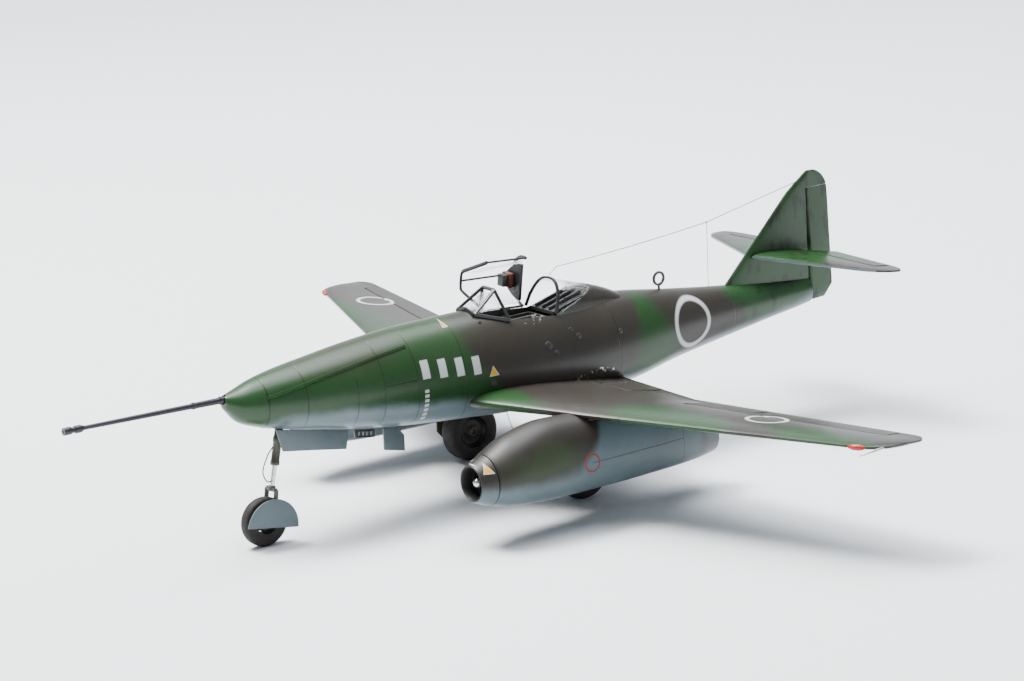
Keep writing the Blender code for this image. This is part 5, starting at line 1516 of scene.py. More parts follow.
@dataclass
class Nacelle:
    """One engine nacelle under the wing."""

    paint: Paint
    repeater: Repeater
    side: Side
    duct_radius: float = 0.262
    lip_depth: float = 0.20

    def axis(self, share: float) -> tuple[float, float]:
        """A point of the axis, as y and z."""
        run = share * NACELLE_LENGTH
        return NACELLE_Y + run, NACELLE_Z - NACELLE_DROP * run

    def ring(self, share: float, sides: int = 96) -> np.ndarray:
        """Ring of the nacelle's outside."""
        table = list(zip(*NACELLE_SHAPE))
        width, below, above = (float(smooth_curve(table[0], column,
                                                  np.array(share))) for column in table[1:])
        y, z = self.axis(share)
        angle = 2 * math.pi * np.arange(sides) / sides
        up, out = np.cos(angle), np.sin(angle)
        x = self.side.value * NACELLE_X + width * NACELLE_HALF_WIDTH * out
        return np.stack([x, np.full(sides, y), z + np.where(up > 0, above, below) * up], axis=1)

    def build(self) -> None:
        """Make the shell, the intake ring, the compressor and the tail cone."""
        word, x = self.side.word, self.side.value * NACELLE_X
        shares = np.concatenate([[self.lip_depth / NACELLE_LENGTH + GAP / NACELLE_LENGTH],
                                 np.linspace(0.07, 1.0, 60)])
        shell = loft(f"nacelle_skin_{word}", [self.ring(share) for share in shares],
                     self.paint[Coat.NACELLE])
        duct = rod("duct", (x, *self.axis(-0.05)), (x, *self.axis(1.05)), self.duct_radius, sides=72)
        seat = loft("wing seat", [wing_ring(place, "both", GAP) for place in np.linspace(x - 0.9, x + 0.9,
                                                                                         12)])
        roof = prism("above the wing", [(x - 0.7, NACELLE_Y + 1.95, 1.36), (x + 0.7, NACELLE_Y + 1.95, 1.36),
                                        (x + 0.7, TAIL_END_Y, 1.26), (x - 0.7, TAIL_END_Y, 1.26)],
                                        (0, 0, 0.8))
        carve(shell, [duct, seat, roof])
        hand_over(shell, "camouflage_skin", f"nacelle_{word}")
        self.intake(x)
        self.turbine(x)

    def intake(self, x: float) -> None:
        """Rounded intake ring, painted as the nacelle outside and dark inside as painted shade, faired to
        the oval of the shell.

        Args:
            x: Full-size place of the nacelle's axis.
        """
        y, z = self.axis(0)
        lip_share = self.lip_depth / NACELLE_LENGTH
        outer = []
        for share in np.linspace(0.10, 1.0, 12):
            outer.append(self.ring(lip_share * share))
        circle = 2 * math.pi * np.arange(96) / 96

        def hoop(radius: float, along: float) -> np.ndarray:
            """A round hoop of the ring's inside."""
            return np.stack([x + radius * np.sin(circle), np.full(96, y + along),
                             z - NACELLE_DROP * along + radius * np.cos(circle)], axis=1)

        bead = [hoop(0.230 + 0.012 * math.sin(t), -0.010 * math.cos(t) * 1.2) for t in np.linspace(-1.3,
                                                                                                   1.3, 7)]
        inner = [hoop(0.212, 0.03), hoop(0.208, 0.06), hoop(0.212, 0.14), hoop(0.216, self.lip_depth)]
        rings = [*reversed(inner), *bead, *outer]
        count = len(rings)
        points = np.concatenate(rings)
        faces = [(r * 96 + i, r * 96 + (i + 1) % 96, ((r + 1) % count) * 96 + (i + 1) % 96,
                  ((r + 1) % count) * 96 + i)
                 for r in range(count) for i in range(96)]
        ring = add_piece(f"intake_lip_{self.side.word}", points, faces, self.paint[Coat.NACELLE])
        # The faces inside the lip get the dark finish: painted shade inside the intake.
        ring.data.materials.append(self.paint[Coat.DARK])
        middle = Vector(to_model([(x, y, z)])[0])
        for face in ring.data.polygons:
            away = face.center - middle
            face.material_index = int(math.hypot(away.x, away.z) < 0.238 * SCALE)
        hand_over(ring, "camouflage_skin", f"intake_ring_{self.side.word}")

    def turbine(self, x: float) -> None:
        """Starter bullet and compressor blades in front, exhaust cone behind.

        Args:
            x: Full-size place of the nacelle's axis.
        """
        word, axis = self.side.word, (0, 1, -NACELLE_DROP)
        y, z = self.axis(0.16)
        disc, tip = self.duct_radius - GAP, y - NACELLE_Y - 0.03
        bullet = [(-0.03, 0.0), (-0.03, disc), (-0.09, disc), (-0.09, 0.112), (-0.12, 0.082),
                  (-tip + 0.12, 0.078), (-tip + 0.06, 0.070),
                  (-tip + 0.02, 0.048), (-tip + 0.004, 0.022), (-tip, 0.0)]
        face = turned(f"starter_bullet_{word}", bullet, (x, y, z), axis, self.paint[Coat.STEEL])
        blade = at_origin("blade", (-0.070, -0.004, -0.035), (0.072, 0.004, 0.035))
        blade.data.transform(Matrix.Rotation(math.radians(38), 4, "X"))
        front_y = y - 0.13
        blades = self.repeater.ring("blades", blade, self.paint[Coat.STEEL], 28, 0.178,
                                    (x, front_y, z + 0.13 * NACELLE_DROP), axis)
        hand_over(joined(f"compressor_{word}", [face, blades]), "bright_metal", f"compressor_face_{word}")
        y, z = self.axis(0.86)
        cone = [(0.03, 0.0), (0.0, disc), (0.08, disc), (0.085, 0.15), (0.20, 0.178), (0.30, 0.185),
                (0.42, 0.178), (0.52, 0.158), (0.64, 0.10),
                (0.74, 0.035), (0.76, 0.0)]
        tail = turned(f"tail_cone_{word}", cone, (x, y, z), axis, self.paint[Coat.GUN])
        hand_over(tail, "gun_metal", f"exhaust_cone_{word}")


# ==== tail =====================================================================================
@dataclass
class Tail:
    """Fin, rudder, tailplanes and elevators."""

    paint: Paint
    fin_root_y: float = BODY_END_Y - 1.90
    plane_z: float = 2.37
    plane_y: float = TAIL_END_Y - 1.63
    plane_sweep: float = 0.43
    plane_chord: float = 1.49
    plane_tilt: float = 0.09
    plane_half_span: float = 1.92

    def build(self) -> None:
        """Make the tail."""
        self.fin()
        self.rudder()
        for side in Side:
            self.tailplane(side)

    def fin_edges(self, z: float) -> tuple[float, float]:
        """Leading and trailing edges of the fin and rudder at a height."""
        lead, trail = self.fin_root_y + (z - 2.127) * 1.035, TAIL_END_Y - 0.055 * (z - 1.75)
        rounding = max(0.0, (z - (FIN_TOP - 0.33)) / 0.33)
        if rounding > 0:
            bulge = 1 - math.sqrt(max(0.0, 1 - rounding ** 2))
            top_y = trail - 0.33
            lead, trail = lead + (top_y - lead) * bulge, trail + (top_y - trail) * bulge
        if z < 1.78:
            trail = min(trail, TAIL_END_Y - (1.78 - z) * 0.9)
        return lead, trail

    @staticmethod
    def fin_thickness(z: float) -> float:
        """Thickness of the fin at a height."""
        return 0.085 * (1.25 - 0.6 * (z - 1.7) / (FIN_TOP - 1.7))

    def fin_ring(self, z: float) -> np.ndarray:
        """Ring of the fin at a height."""
        lead, trail = self.fin_edges(z)
        shares = np.append(1 - np.cos(np.pi * np.arange(28) / 28 / 2), 1.0)
        half = np.maximum(half_thickness(shares, 1.0) * self.fin_thickness(z), EDGE / 2)
        place = np.stack([half, lead + (trail - lead) * shares, np.full(29, z)], axis=1)
        return np.concatenate([place, (place * (-1, 1, 1))[:0:-1]])

    def fin(self) -> None:
        """The fixed fin."""
        heights = np.concatenate([np.linspace(1.72, 3.20, 24),
                                  FIN_TOP - 0.012 - 0.318 * (1 - np.sin(np.linspace(0.1, 1.5708, 12)))])
        fin = loft("fin_skin", [self.fin_ring(z) for z in heights], self.paint[Coat.TAIL])
        carve(fin, [body_shape("body under the fin", self.fin_root_y - 0.8, TAIL_END_Y - 0.15, 0.001, 20,
                               64), rudder_notch()])
        hand_over(fin, "camouflage_skin", "fin")

    def rudder(self) -> None:
        """The rudder, its nose round its hinge."""
        foot, head = 1.60, FIN_TOP - 0.27
        rings = []
        angles = math.pi / 2 + math.pi * np.arange(21) / 20
        for z in np.concatenate([np.linspace(foot, 1.78, 8), np.linspace(1.9, head + GAP * 0.4, 14)]):
            _, trail = self.fin_edges(z)
            radius, hinge = 0.052 - 0.02 * (z - foot) / (head - foot), rudder_hinge_y(z)
            nose = np.stack([np.sin(angles) * radius, hinge + np.cos(angles) * radius, np.full(21, z)],
                            axis=1)
            rings.append(np.concatenate([nose, [(-EDGE / 2, trail, z), (EDGE / 2, trail, z)]]))
        rudder = loft("rudder_skin", rings, self.paint[Coat.TAIL])
        hand_over(rudder, "camouflage_skin", "rudder", body="rudder")

    def chord(self, x: float) -> tuple[np.ndarray, np.ndarray]:
        """Leading and trailing edge points of a tailplane at x."""
        out = abs(x)
        lead, trail = self.plane_y + self.plane_sweep * out, self.plane_y + self.plane_chord - 0.10 * out
        rounding = max(0.0, (out - (self.plane_half_span - 0.30)) / 0.30)
        if rounding > 0:
            bulge = 1 - math.sqrt(max(0.0, 1 - min(rounding, 1.0) ** 2))
            tip = lead + (trail - lead) * 0.70
            lead, trail = lead + (tip - lead) * bulge, trail + (tip - trail) * bulge * 0.9
        level = self.plane_z + self.plane_tilt * self.plane_chord / 2
        heights = [level - self.plane_tilt * (y - self.plane_y) for y in (lead, trail)]
        return np.array([x, lead, heights[0]]), np.array([x, trail, heights[1]])

    def plane_ring(self, x: float) -> np.ndarray:
        """Ring of a tailplane at x."""
        lead, trail = self.chord(x)
        chord = trail - lead
        shares = np.append(1 - np.cos(np.pi * np.arange(26) / 26 / 2), 1.0)
        depth = np.maximum(half_thickness(shares, 0.09) * np.linalg.norm(chord), EDGE / 2)
        middle, up = lead + chord * shares[:, None], np.zeros((27, 3))
        up[:, 2] = depth
        return np.concatenate([middle + up, (middle - up)[:0:-1]])

    def hinge(self, x: float) -> np.ndarray:
        """The elevator's hinge at x."""
        y = self.plane_y + self.plane_chord * 0.70
        level = self.plane_z + self.plane_tilt * self.plane_chord / 2
        return np.array([x, y, level - self.plane_tilt * (y - self.plane_y)])

    def tailplane(self, side: Side) -> None:
        """One tailplane and its elevator.

        Args:
            side: The side that it stands on.
        """
        sign, word, inner, outer = side.value, side.word, 0.13, 1.56
        fin_side = float(half_thickness(np.array(0.3), 1.0)) * self.fin_thickness(self.plane_z) + GAP
        tip = self.plane_half_span - 0.004 - 0.30 * (1 - np.sin(np.linspace(0.15, 1.5708, 10)))
        places = np.concatenate([np.linspace(fin_side, 1.60, 14), tip])
        plane = loft(f"tailplane_skin_{word}", [self.plane_ring(sign * x) for x in places],
                     self.paint[Coat.TAIL])
        hinge_y = self.hinge(0)[1]
        front = hinge_y - 0.042 - 0.0004 / SCALE
        notch = prism("elevator notch", [(sign * (inner - 0.2), front, 2.0),
                                         (sign * (outer + GAP), front, 2.0),
                                         (sign * (outer + GAP), TAIL_END_Y + 0.3, 2.0),
                                         (sign * (inner - 0.2), TAIL_END_Y + 0.3, 2.0)],
                      (0, 0, 0.8))
        carve(plane, [notch])
        paint_underside(plane, self.paint[Coat.UNDER])
        hand_over(plane, "camouflage_skin", f"tailplane_{word}")
        rings = []
        for x in np.linspace(inner, outer, 10):
            _, trail = self.chord(sign * x)
            share = (x - inner) / (outer - inner)
            ring = strip_ring(self.hinge(sign * x), 0.042 - 0.012 * share, trail)
            if x == inner:
                ring[:, 0] += sign * 0.20 * np.maximum(0.0, ring[:, 1] - hinge_y) / 0.45
            rings.append(ring)
        rings[1][:, 0] = np.maximum(rings[1][:, 0] * sign, rings[0][:, 0] * sign + 0.01) * sign
        elevator = loft(f"elevator_skin_{word}", rings, self.paint[Coat.TAIL])
        paint_underside(elevator, self.paint[Coat.UNDER])
        hand_over(elevator, "camouflage_skin", f"elevator_{word}", body=f"elevator_{word}")


# ==== cockpit and canopy =======================================================================
def bow(shape: Sequence[tuple[float, float]], foot_y: float, lean: float, half: float, foot_z: float,
        top_z: float, steps: int = 0) -> np.ndarray:
    """Points of a bow from the starboard foot over the top to the port foot.

    Args:
        shape: Shares of the half width and of the rise, from the foot to the top.
        foot_y: Place of its feet.
        lean: How far its top stands behind them.
        half: Half width.
        foot_z: Height of its feet.
        top_z: Height of its top.
        steps: Steps between each two points of the shape, or 0 to keep its corners.

    Returns:
        The bow's points.
    """
    port = [(half * across, foot_y + lean * up, foot_z + (top_z - foot_z) * up) for across, up in shape]
    points = np.array([(-x, y, z) for x, y, z in port[:-1]] + port[::-1])
    return rounded_path(points, steps) if steps else points


def hinge_line() -> tuple[Vector, Vector]:
    """Front and rear ends of the canopy's hinge, on its starboard rail."""
    stand = FRAME_BAR / 2 + GAP
    front, rear = (Vector((-CANOPY_HALF_WIDTH, y,
                           skin_z(y, CANOPY_HALF_WIDTH) + stand)) for y in (CANOPY_FRONT, CANOPY_REAR))
    return front, rear


def swing_open(points: Iterable[Point]) -> np.ndarray:
    """Swing points of the closed canopy open about its hinge."""
    front, rear = hinge_line()
    swing = Matrix.Rotation(-OPEN_ANGLE, 4, (rear - front).normalized())
    return np.array([front + swing @ (Vector(point) - front) for point in points])


def skin_between(name: str, first: np.ndarray, last: np.ndarray, wall: float, material: Material,
                 rows: int = 8) -> Piece:
    """A thin wall stretched between two bows of equal count."""
    lines = [first + (last - first) * share for share in np.linspace(0, 1, rows)]
    count = len(first)
    faces = [(r * count + i, r * count + i + 1, (r + 1) * count + i + 1, (r + 1) * count + i)
             for r in range(rows - 1) for i in range(count - 1)]
    piece = add_piece(name, np.concatenate(lines), faces, material, 50.0)
    step = piece.modifiers.new("wall", "SOLIDIFY")
    step.thickness, step.offset, step.use_even_offset = wall * SCALE, 0.0, True
    return settle(piece, 50.0)


def plate(name: str, corners: Sequence[Point], thickness: float, material: Material) -> Piece:
    """A flat plate of even thickness, centred on its corners."""
    flat = np.asarray(corners, float)
    normal = np.cross(flat[1] - flat[0], flat[2] - flat[0])
    normal *= thickness / 2 / np.linalg.norm(normal)
    return prism(name, flat - normal, 2 * normal, material)


def bars(name: str, edges: Sequence[tuple[Point, Point]], centre: Point, width: float, depth: float,
         material: Material) -> Piece:
    """Straight flat bars along edges, facing away from a centre."""
    pieces = []
    for start, end in edges:
        line = np.linspace(start, end, 3)
        pieces.append(flat_bar("bar", line, line - np.asarray(centre, float), width, depth, material))
    return joined(name, pieces)


@dataclass
class Canopy:
    """Windscreen, opened centre canopy and fixed rear hood."""

    paint: Paint
    bar: float = FRAME_BAR

    def build(self) -> None:
        """Make the three parts of the glazing."""
        self.windscreen()
        self.centre()
        self.armour()
        self.hood()

    def windscreen(self) -> None:
        """Three flat panes in a bar frame."""
        stand, bar_y, top_z = FRAME_BAR / 2 + GAP, CABIN_Y + 0.54, 2.79
        foot_z = skin_z(ARCH_Y, CANOPY_HALF_WIDTH) + stand
        front_z = skin_z(CABIN_Y + 0.14, 0.20) + stand

        def corners(inset: float) -> tuple[list[Point], list[Point], list[Point]]:
            """Top, front and rear feet of the windscreen, drawn in by an inset."""
            top = [(s * (0.13 - inset * 0.5), bar_y - inset * 0.1, top_z - inset * 1.3) for s in (1, -1)]
            front = [(s * (0.20 - inset * 0.5), CABIN_Y + 0.14 + inset * 1.3, front_z) for s in (1, -1)]
            feet = [(s * (CANOPY_HALF_WIDTH - inset * 1.1), ARCH_Y - inset * 0.3, foot_z) for s in (1, -1)]
            return top, front, feet

        top, front, feet = corners(0.0)
        crown = (0.0, CABIN_Y + 0.13, skin_z(CABIN_Y + 0.13, 0.0) + stand)
        edges = [(top[0], top[1]), (front[0], crown), (crown, front[1])]
        for s in (0, 1):
            edges += [(top[s], front[s]), (top[s], feet[s]), (front[s], feet[s])]
        frame_piece = bars("windscreen_bars", edges, (0.0, ARCH_Y + 0.2, 2.35), self.bar * 1.35,
                           self.bar * 1.1, self.paint[Coat.FRAME])
        hand_over(frame_piece, "dark_frame", "windscreen_frame")
        top, front, feet = corners(FRAME_BAR / 2 + GAP + GLASS_WALL)
        panes = [plate("pane", [top[0], front[0], front[1], top[1]], GLASS_WALL, self.paint[Coat.CLEAR])]
        panes += [plate("pane", [top[s], feet[s], front[s]], GLASS_WALL,
                        self.paint[Coat.CLEAR]) for s in (0, 1)]
        hand_over(joined("windscreen_panes", panes), "clear", "windscreen_glass")

    def bows(self, inset: float, steps: int) -> tuple[np.ndarray, np.ndarray]:
        """Front and rear bows of the opened centre canopy, drawn in by an inset."""
        front_hinge, rear_hinge = hinge_line()
        half = CANOPY_HALF_WIDTH - inset
        front = bow(FRONT_BOW, CANOPY_FRONT + inset, -0.10, half, front_hinge.z, 2.795 - inset, steps)
        rear = bow(REAR_BOW, CANOPY_REAR - inset, REAR_LEAN, half, rear_hinge.z, HOOD_TOP_Z - inset, steps)
        return swing_open(front), swing_open(rear)

    def centre(self) -> None:
        """The hinged canopy standing open: bows, rails, roof bar and clear skin."""
        front, rear = self.bows(0.0, 5)
        middle = swing_open([(0.0, (CANOPY_FRONT + CANOPY_REAR) / 2, SILL_Z)])[0]
        width, depth, finish = self.bar * 1.45, self.bar * 1.1, self.paint[Coat.FRAME]
        pieces = [flat_bar("bow", line, line - middle, width, depth, finish) for line in (front, rear)]
        top = len(front) // 2
        rails = [(front[0], rear[0]), (front[-1], rear[-1]), (front[top], rear[top])]
        pieces.append(bars("rails", rails, middle, self.bar * 0.8, self.bar * 0.8, finish))
        knobs = []
        for share in (0.2, 0.8):
            place = front[-1] + (rear[-1] - front[-1]) * share
            knobs.append(turned("latch", [(-0.020, 0.0), (-0.020, 0.0145), (0.020, 0.0145), (0.020, 0.0)],
                                place, (0, 1, 0), finish, 24))
        hand_over(joined("canopy_bows", pieces + knobs), "dark_frame", "canopy_frame", body="canopy")
        front, rear = self.bows(FRAME_BAR / 2 + GAP + GLASS_WALL, 5)
        glass = skin_between("canopy_shell", front, rear, GLASS_WALL, self.paint[Coat.CLEAR])
        hand_over(glass, "clear", "canopy_glass", body="canopy")

    def armour(self) -> None:
        """Armour plate and headrest inside the rear of the canopy."""
        _, rear_hinge = hinge_line()
        y, foot_z = CANOPY_REAR - 0.07, rear_hinge.z
        port = np.array([(0.26, y, foot_z), (0.25, y, foot_z + 0.08), (0.21, y, foot_z + 0.17),
                         (0.15, y, foot_z + 0.25), (0.09, y, foot_z + 0.31)])
        outline = np.concatenate([port, (port * (-1, 1, 1))[::-1]])
        turn = swing_open([(0, 0, 0), (0, 0.046, 0)])
        armour = prism("head_plate", swing_open(outline), turn[1] - turn[0], self.paint[Coat.BLACK])
        soften(armour, 0.006)
        def rest(name: str, half: float, low: float, high: float, start: float, reach: float,
                 coat: Coat) -> Piece:
            """A block of the headrest, from start forwards."""
            corners = [(x, y - start, foot_z + z) for x, z in ((half, low), (half, high), (-half, high),
                                                               (-half, low))]
            forward = swing_open([(0, 0, 0), (0, -reach, 0)])
            return prism(name, swing_open(corners), forward[1] - forward[0], self.paint[coat])

        pad = soften(rest("headrest_pad", 0.105, 0.12, 0.30, -0.002, 0.090, Coat.PAD), 0.022, 5)
        block_piece = soften(rest("headrest block", 0.085, 0.15, 0.285, 0.090, 0.085, Coat.BLACK), 0.012, 3)
        hand_over(joined("head_plate_and_block", [armour, block_piece]), "dark_frame", "head_armour",
                  body="canopy")
        hand_over(pad, "seat_olive", body="canopy")

    @staticmethod
    def hood_rings(inset: float, stations: Sequence[float]) -> list[np.ndarray]:
        """Sections of the fixed hood and the fairing behind it."""
        rings = []
        for y in stations:
            share = (y - HOOP_Y) / (HOOD_END_Y - HOOP_Y)
            top = HOOD_TOP_Z - 0.215 * share - 0.12 * max(0.0, share - 1) ** 2
            half = CANOPY_HALF_WIDTH - 0.03 * share - 0.03 * share ** 2 - inset
            foot, skirt = SILL_Z - 0.03, 0.25
            low_y = y - REAR_LEAN * skirt / (HOOD_TOP_Z - foot)
            low = [(side * half, low_y, foot - skirt) for side in (1, -1)]
            rings.append(np.concatenate([bow(REAR_BOW, y, REAR_LEAN, half, foot, top - inset, 5), low]))
        return rings

    def wedge(self, name: str, shift: float, upward: bool) -> Piece:
        """Everything above, or below, the slanted plane that parts glass and fairing."""
        low_y = HOOP_Y + 0.13
        near, far = low_y - 2.0, low_y + 3.0
        heights = [SILL_Z + shift + 0.33 * (y - low_y) for y in (near, far)]
        level = 4.5 if upward else 0.5
        return prism(name, [(-1.0, near, heights[0]), (-1.0, far, heights[1]), (-1.0, far, level),
                            (-1.0, near, level)], (2.0, 0, 0))

    def hood(self) -> None:
        """Fixed clear hood, its hoop, the ribbed deck inside it, and the painted fairing behind."""
        start = HOOP_Y + FRAME_BAR / 2 + GAP
        stations = list(np.linspace(start, HOOD_END_Y + 0.55, 24))
        body = body_shape("body under the hood", CABIN_Y, WAIST_Y + 1.5, 0.001, 40, 96)
        glass = loft("hood_shell", self.hood_rings(0.0, stations), self.paint[Coat.CLEAR], 50.0)
        inside = loft("hood cavity", self.hood_rings(GLASS_WALL,
                                                     [start - 0.2, *stations[1:-1], stations[-1] - 0.05]))
        carve(glass, [inside, self.wedge("under the hood glass", GAP, False)], smooth=50.0)
        carve(glass, [body], smooth=50.0, keep=True)
        hand_over(glass, "clear", "rear_hood_glass")
        fairing = loft("fairing_skin", self.hood_rings(0.0, stations), self.paint[Coat.BODY], 50.0)
        carve(fairing, [self.wedge("over the fairing", 0.0, True), body], smooth=50.0)
        hand_over(fairing, "camouflage_skin", "rear_fairing")
        rise = [(HOOP_Y + 0.02, 2.30), (HOOP_Y + 0.02, 2.345), (HOOP_Y + 0.60, 2.50), (HOOP_Y + 0.60, 2.36)]
        deck = [prism("deck", [(-0.255, y, z) for y, z in rise], (0.51, 0, 0), self.paint[Coat.BLACK])]
        for x in (-0.15, 0.0, 0.15):
            deck.append(bars("rib", [((x, HOOP_Y + 0.03, 2.37), (x, HOOP_Y + 0.58, 2.52))],
                             (x, HOOP_Y, 0.0), 0.03, 0.05, self.paint[Coat.FRAME]))
        hand_over(joined("hood_deck", deck), "cockpit_black")
        foot_z = skin_z(HOOP_Y, CANOPY_HALF_WIDTH) + FRAME_BAR / 2 + GAP
        line = bow(REAR_BOW, HOOP_Y, REAR_LEAN, CANOPY_HALF_WIDTH, foot_z, HOOD_TOP_Z, 5)
        hoop = flat_bar("hood_hoop", line, line - np.array([0, HOOP_Y + 0.08, SILL_Z]), self.bar * 1.35,
                        self.bar * 0.9, self.paint[Coat.FRAME])
        hand_over(hoop, "dark_frame", "rear_hood_frame")


@dataclass
class Cockpit:
    """Tub, seat with straps, instruments, side consoles and control stick."""

    paint: Paint
    repeater: Repeater
    front: float = ARCH_Y - 0.42
    rear: float = HOOP_Y + 0.02
    floor: float = 1.80
    rim: float = SILL_Z - 0.07

    def build(self) -> None:
        """Make the cockpit."""
        self.tub()
        self.seat()
        self.panel()
        self.controls()

    def tub(self) -> None:
        """Box of the cockpit, with consoles along both sides."""
        half = 0.285
        tub = block("cockpit_box", (-half, self.front, self.floor), (half, self.rear, self.rim),
                    self.paint[Coat.BLACK])
        inner = block("tub inside", (-half + 0.035, self.front + 0.035, self.floor + 0.045),
                      (half - 0.035, self.rear - 0.035, self.rim + 0.3))
        carve(tub, [inner])
        soften(tub, 0.004, 2)
        hand_over(tub, "cockpit_black", "cockpit_tub")
        consoles, knobs, levers = [], [], []
        for sign in (1, -1):
            low, high = sorted((sign * 0.18, sign * 0.24))
            consoles.append(block("console", (low, self.front + 0.30, self.floor + 0.06),
                                  (high, self.rear - 0.12, self.rim - 0.14), self.paint[Coat.BLACK], 0.008))
            knob = turned("knob", [(0.0, 0.0), (0.0, 0.011), (0.018, 0.009), (0.018, 0.0)],
                          (0, MIDDLE_Y, 0), (0, 0, 1), self.paint[Coat.WHITE], 16)
            place = sign * 0.21
            knobs.append(self.repeater.row("knobs", knob, self.paint[Coat.WHITE], 7,
                                           (place, self.front + 0.40, self.rim - 0.14),
                                           (place, self.rear - 0.50, self.rim - 0.14), 11 + sign))
            for y in (0.52, 0.60):
                base = (place, self.front + y, self.rim - 0.14)
                tip = (place, self.front + y - 0.03, self.rim - 0.04)
                levers.append(rod("lever", base, tip, 0.006, self.paint[Coat.YELLOW], sides=12))
                levers.append(turned("grip", [(-0.014, 0.0), (-0.010, 0.010), (0.0, 0.013), (0.010, 0.010),
                                              (0.014, 0.0)], tip, (1, 0, 0),
                                     self.paint[Coat.YELLOW], 16))
        hand_over(joined("side_consoles", consoles), "cockpit_black")
        hand_over(joined("console_knobs", knobs), "cockpit_black")
        hand_over(joined("console_levers", levers), "cockpit_black")

    def seat(self) -> None:
        """Bucket seat with a worn cushion and two shoulder straps."""
        low, rear = self.floor + 0.045 + GAP, self.rear
        seat = block("bucket_seat", (-0.17, rear - 0.50, low), (0.17, rear - 0.05, self.rim - 0.02),
                     self.paint[Coat.SEAT])
        carve(seat, [block("seat inside", (-0.145, rear - 0.55, self.floor + 0.17),
                           (0.145, rear - 0.085, self.rim + 0.1))])
        soften(seat, 0.012, 3)
        hand_over(seat, "seat_olive", "seat")
        cushion = block("seat_cushion", (-0.14, rear - 0.48, self.floor + 0.172),
                        (0.14, rear - 0.10, self.floor + 0.215), self.paint[Coat.PAD], 0.016)
        hand_over(cushion, "seat_olive")
        straps, buckles = [], []
        for sign in (1, -1):
            path = [(sign * 0.07, rear - 0.055, self.rim + 0.004),
                    (sign * 0.07, rear - 0.100, self.rim - 0.03),
                    (sign * 0.065, rear - 0.105, self.rim - 0.14),
                    (sign * 0.055, rear - 0.13, self.floor + 0.235),
                    (sign * 0.04, rear - 0.26, self.floor + 0.228)]
            line = rounded_path(path, 6)
            straps.append(flat_bar("strap", line, np.tile((0.0, -0.7, 0.7), (len(line), 1)), 0.038, 0.006,
                                   self.paint[Coat.STRAP]))
            buckles.append(block("buckle", (sign * 0.065 - 0.024, rear - 0.118, self.rim - 0.11),
                                 (sign * 0.065 + 0.024, rear - 0.108, self.rim - 0.08),
                                 self.paint[Coat.STEEL], 0.002))
        hand_over(joined("shoulder_straps", straps), "seat_olive")
        hand_over(joined("strap_buckles", buckles), "bright_metal")

    def panel(self) -> None:
        """Instrument panel with two rows of dials, and the gun sight."""
        y = self.front + 0.16
        board = block("panel_board", (-0.235, y, self.rim - 0.23), (0.235, y + 0.04, self.rim + 0.05),
                      self.paint[Coat.BLACK], 0.008)
        sight = block("sight body", (-0.03, y + 0.005, self.rim + 0.04), (0.03, y + 0.035, self.rim + 0.10),
                      self.paint[Coat.BLACK], 0.004)
        plate_piece = plate("sight_glass", [(-0.024, y + 0.01, self.rim + 0.10),
                                            (0.024, y + 0.01, self.rim + 0.10),
                                            (0.024, y + 0.03, self.rim + 0.155),
                                            (-0.024, y + 0.03, self.rim + 0.155)], 0.006,
                                            self.paint[Coat.CLEAR])
        hand_over(joined("instrument_board", [board, sight]), "cockpit_black", "instrument_panel")
        hand_over(plate_piece, "clear")
        rims = []
        for row, (height, count, reach) in enumerate(((-0.02, 6, 0.18), (-0.10, 6, 0.18), (-0.17, 4, 0.11))):
            dial = turned("dial", [(0.0, 0.0), (0.0, 0.024), (0.008, 0.024), (0.008, 0.020), (0.003, 0.018),
                                   (0.003, 0.0)], (0, MIDDLE_Y, 0), (0, 1, 0),
                          self.paint[Coat.WHITE], 24)
            rims.append(self.repeater.row("dials", dial, self.paint[Coat.WHITE], count,
                                          (-reach, y + 0.04, self.rim + height),
                                          (reach, y + 0.04, self.rim + height), 3 + row))
        hand_over(joined("instrument_dials", rims), "cockpit_black")

    def controls(self) -> None:
        """Control stick with its grip."""
        y, foot = (self.front + self.rear) / 2 - 0.06, self.floor + 0.045 + GAP
        stick = rod("stick tube", (0, y, foot), (0, y - 0.03, self.floor + 0.27), 0.012,
                    self.paint[Coat.BLACK], sides=20)
        grip = rod("stick grip", (0, y - 0.027, self.floor + 0.255), (0, y - 0.035, self.floor + 0.33),
                   0.018, self.paint[Coat.BLACK], sides=20, lip=0.006)
        hand_over(joined("stick", [stick, grip]), "cockpit_black", "control_stick")


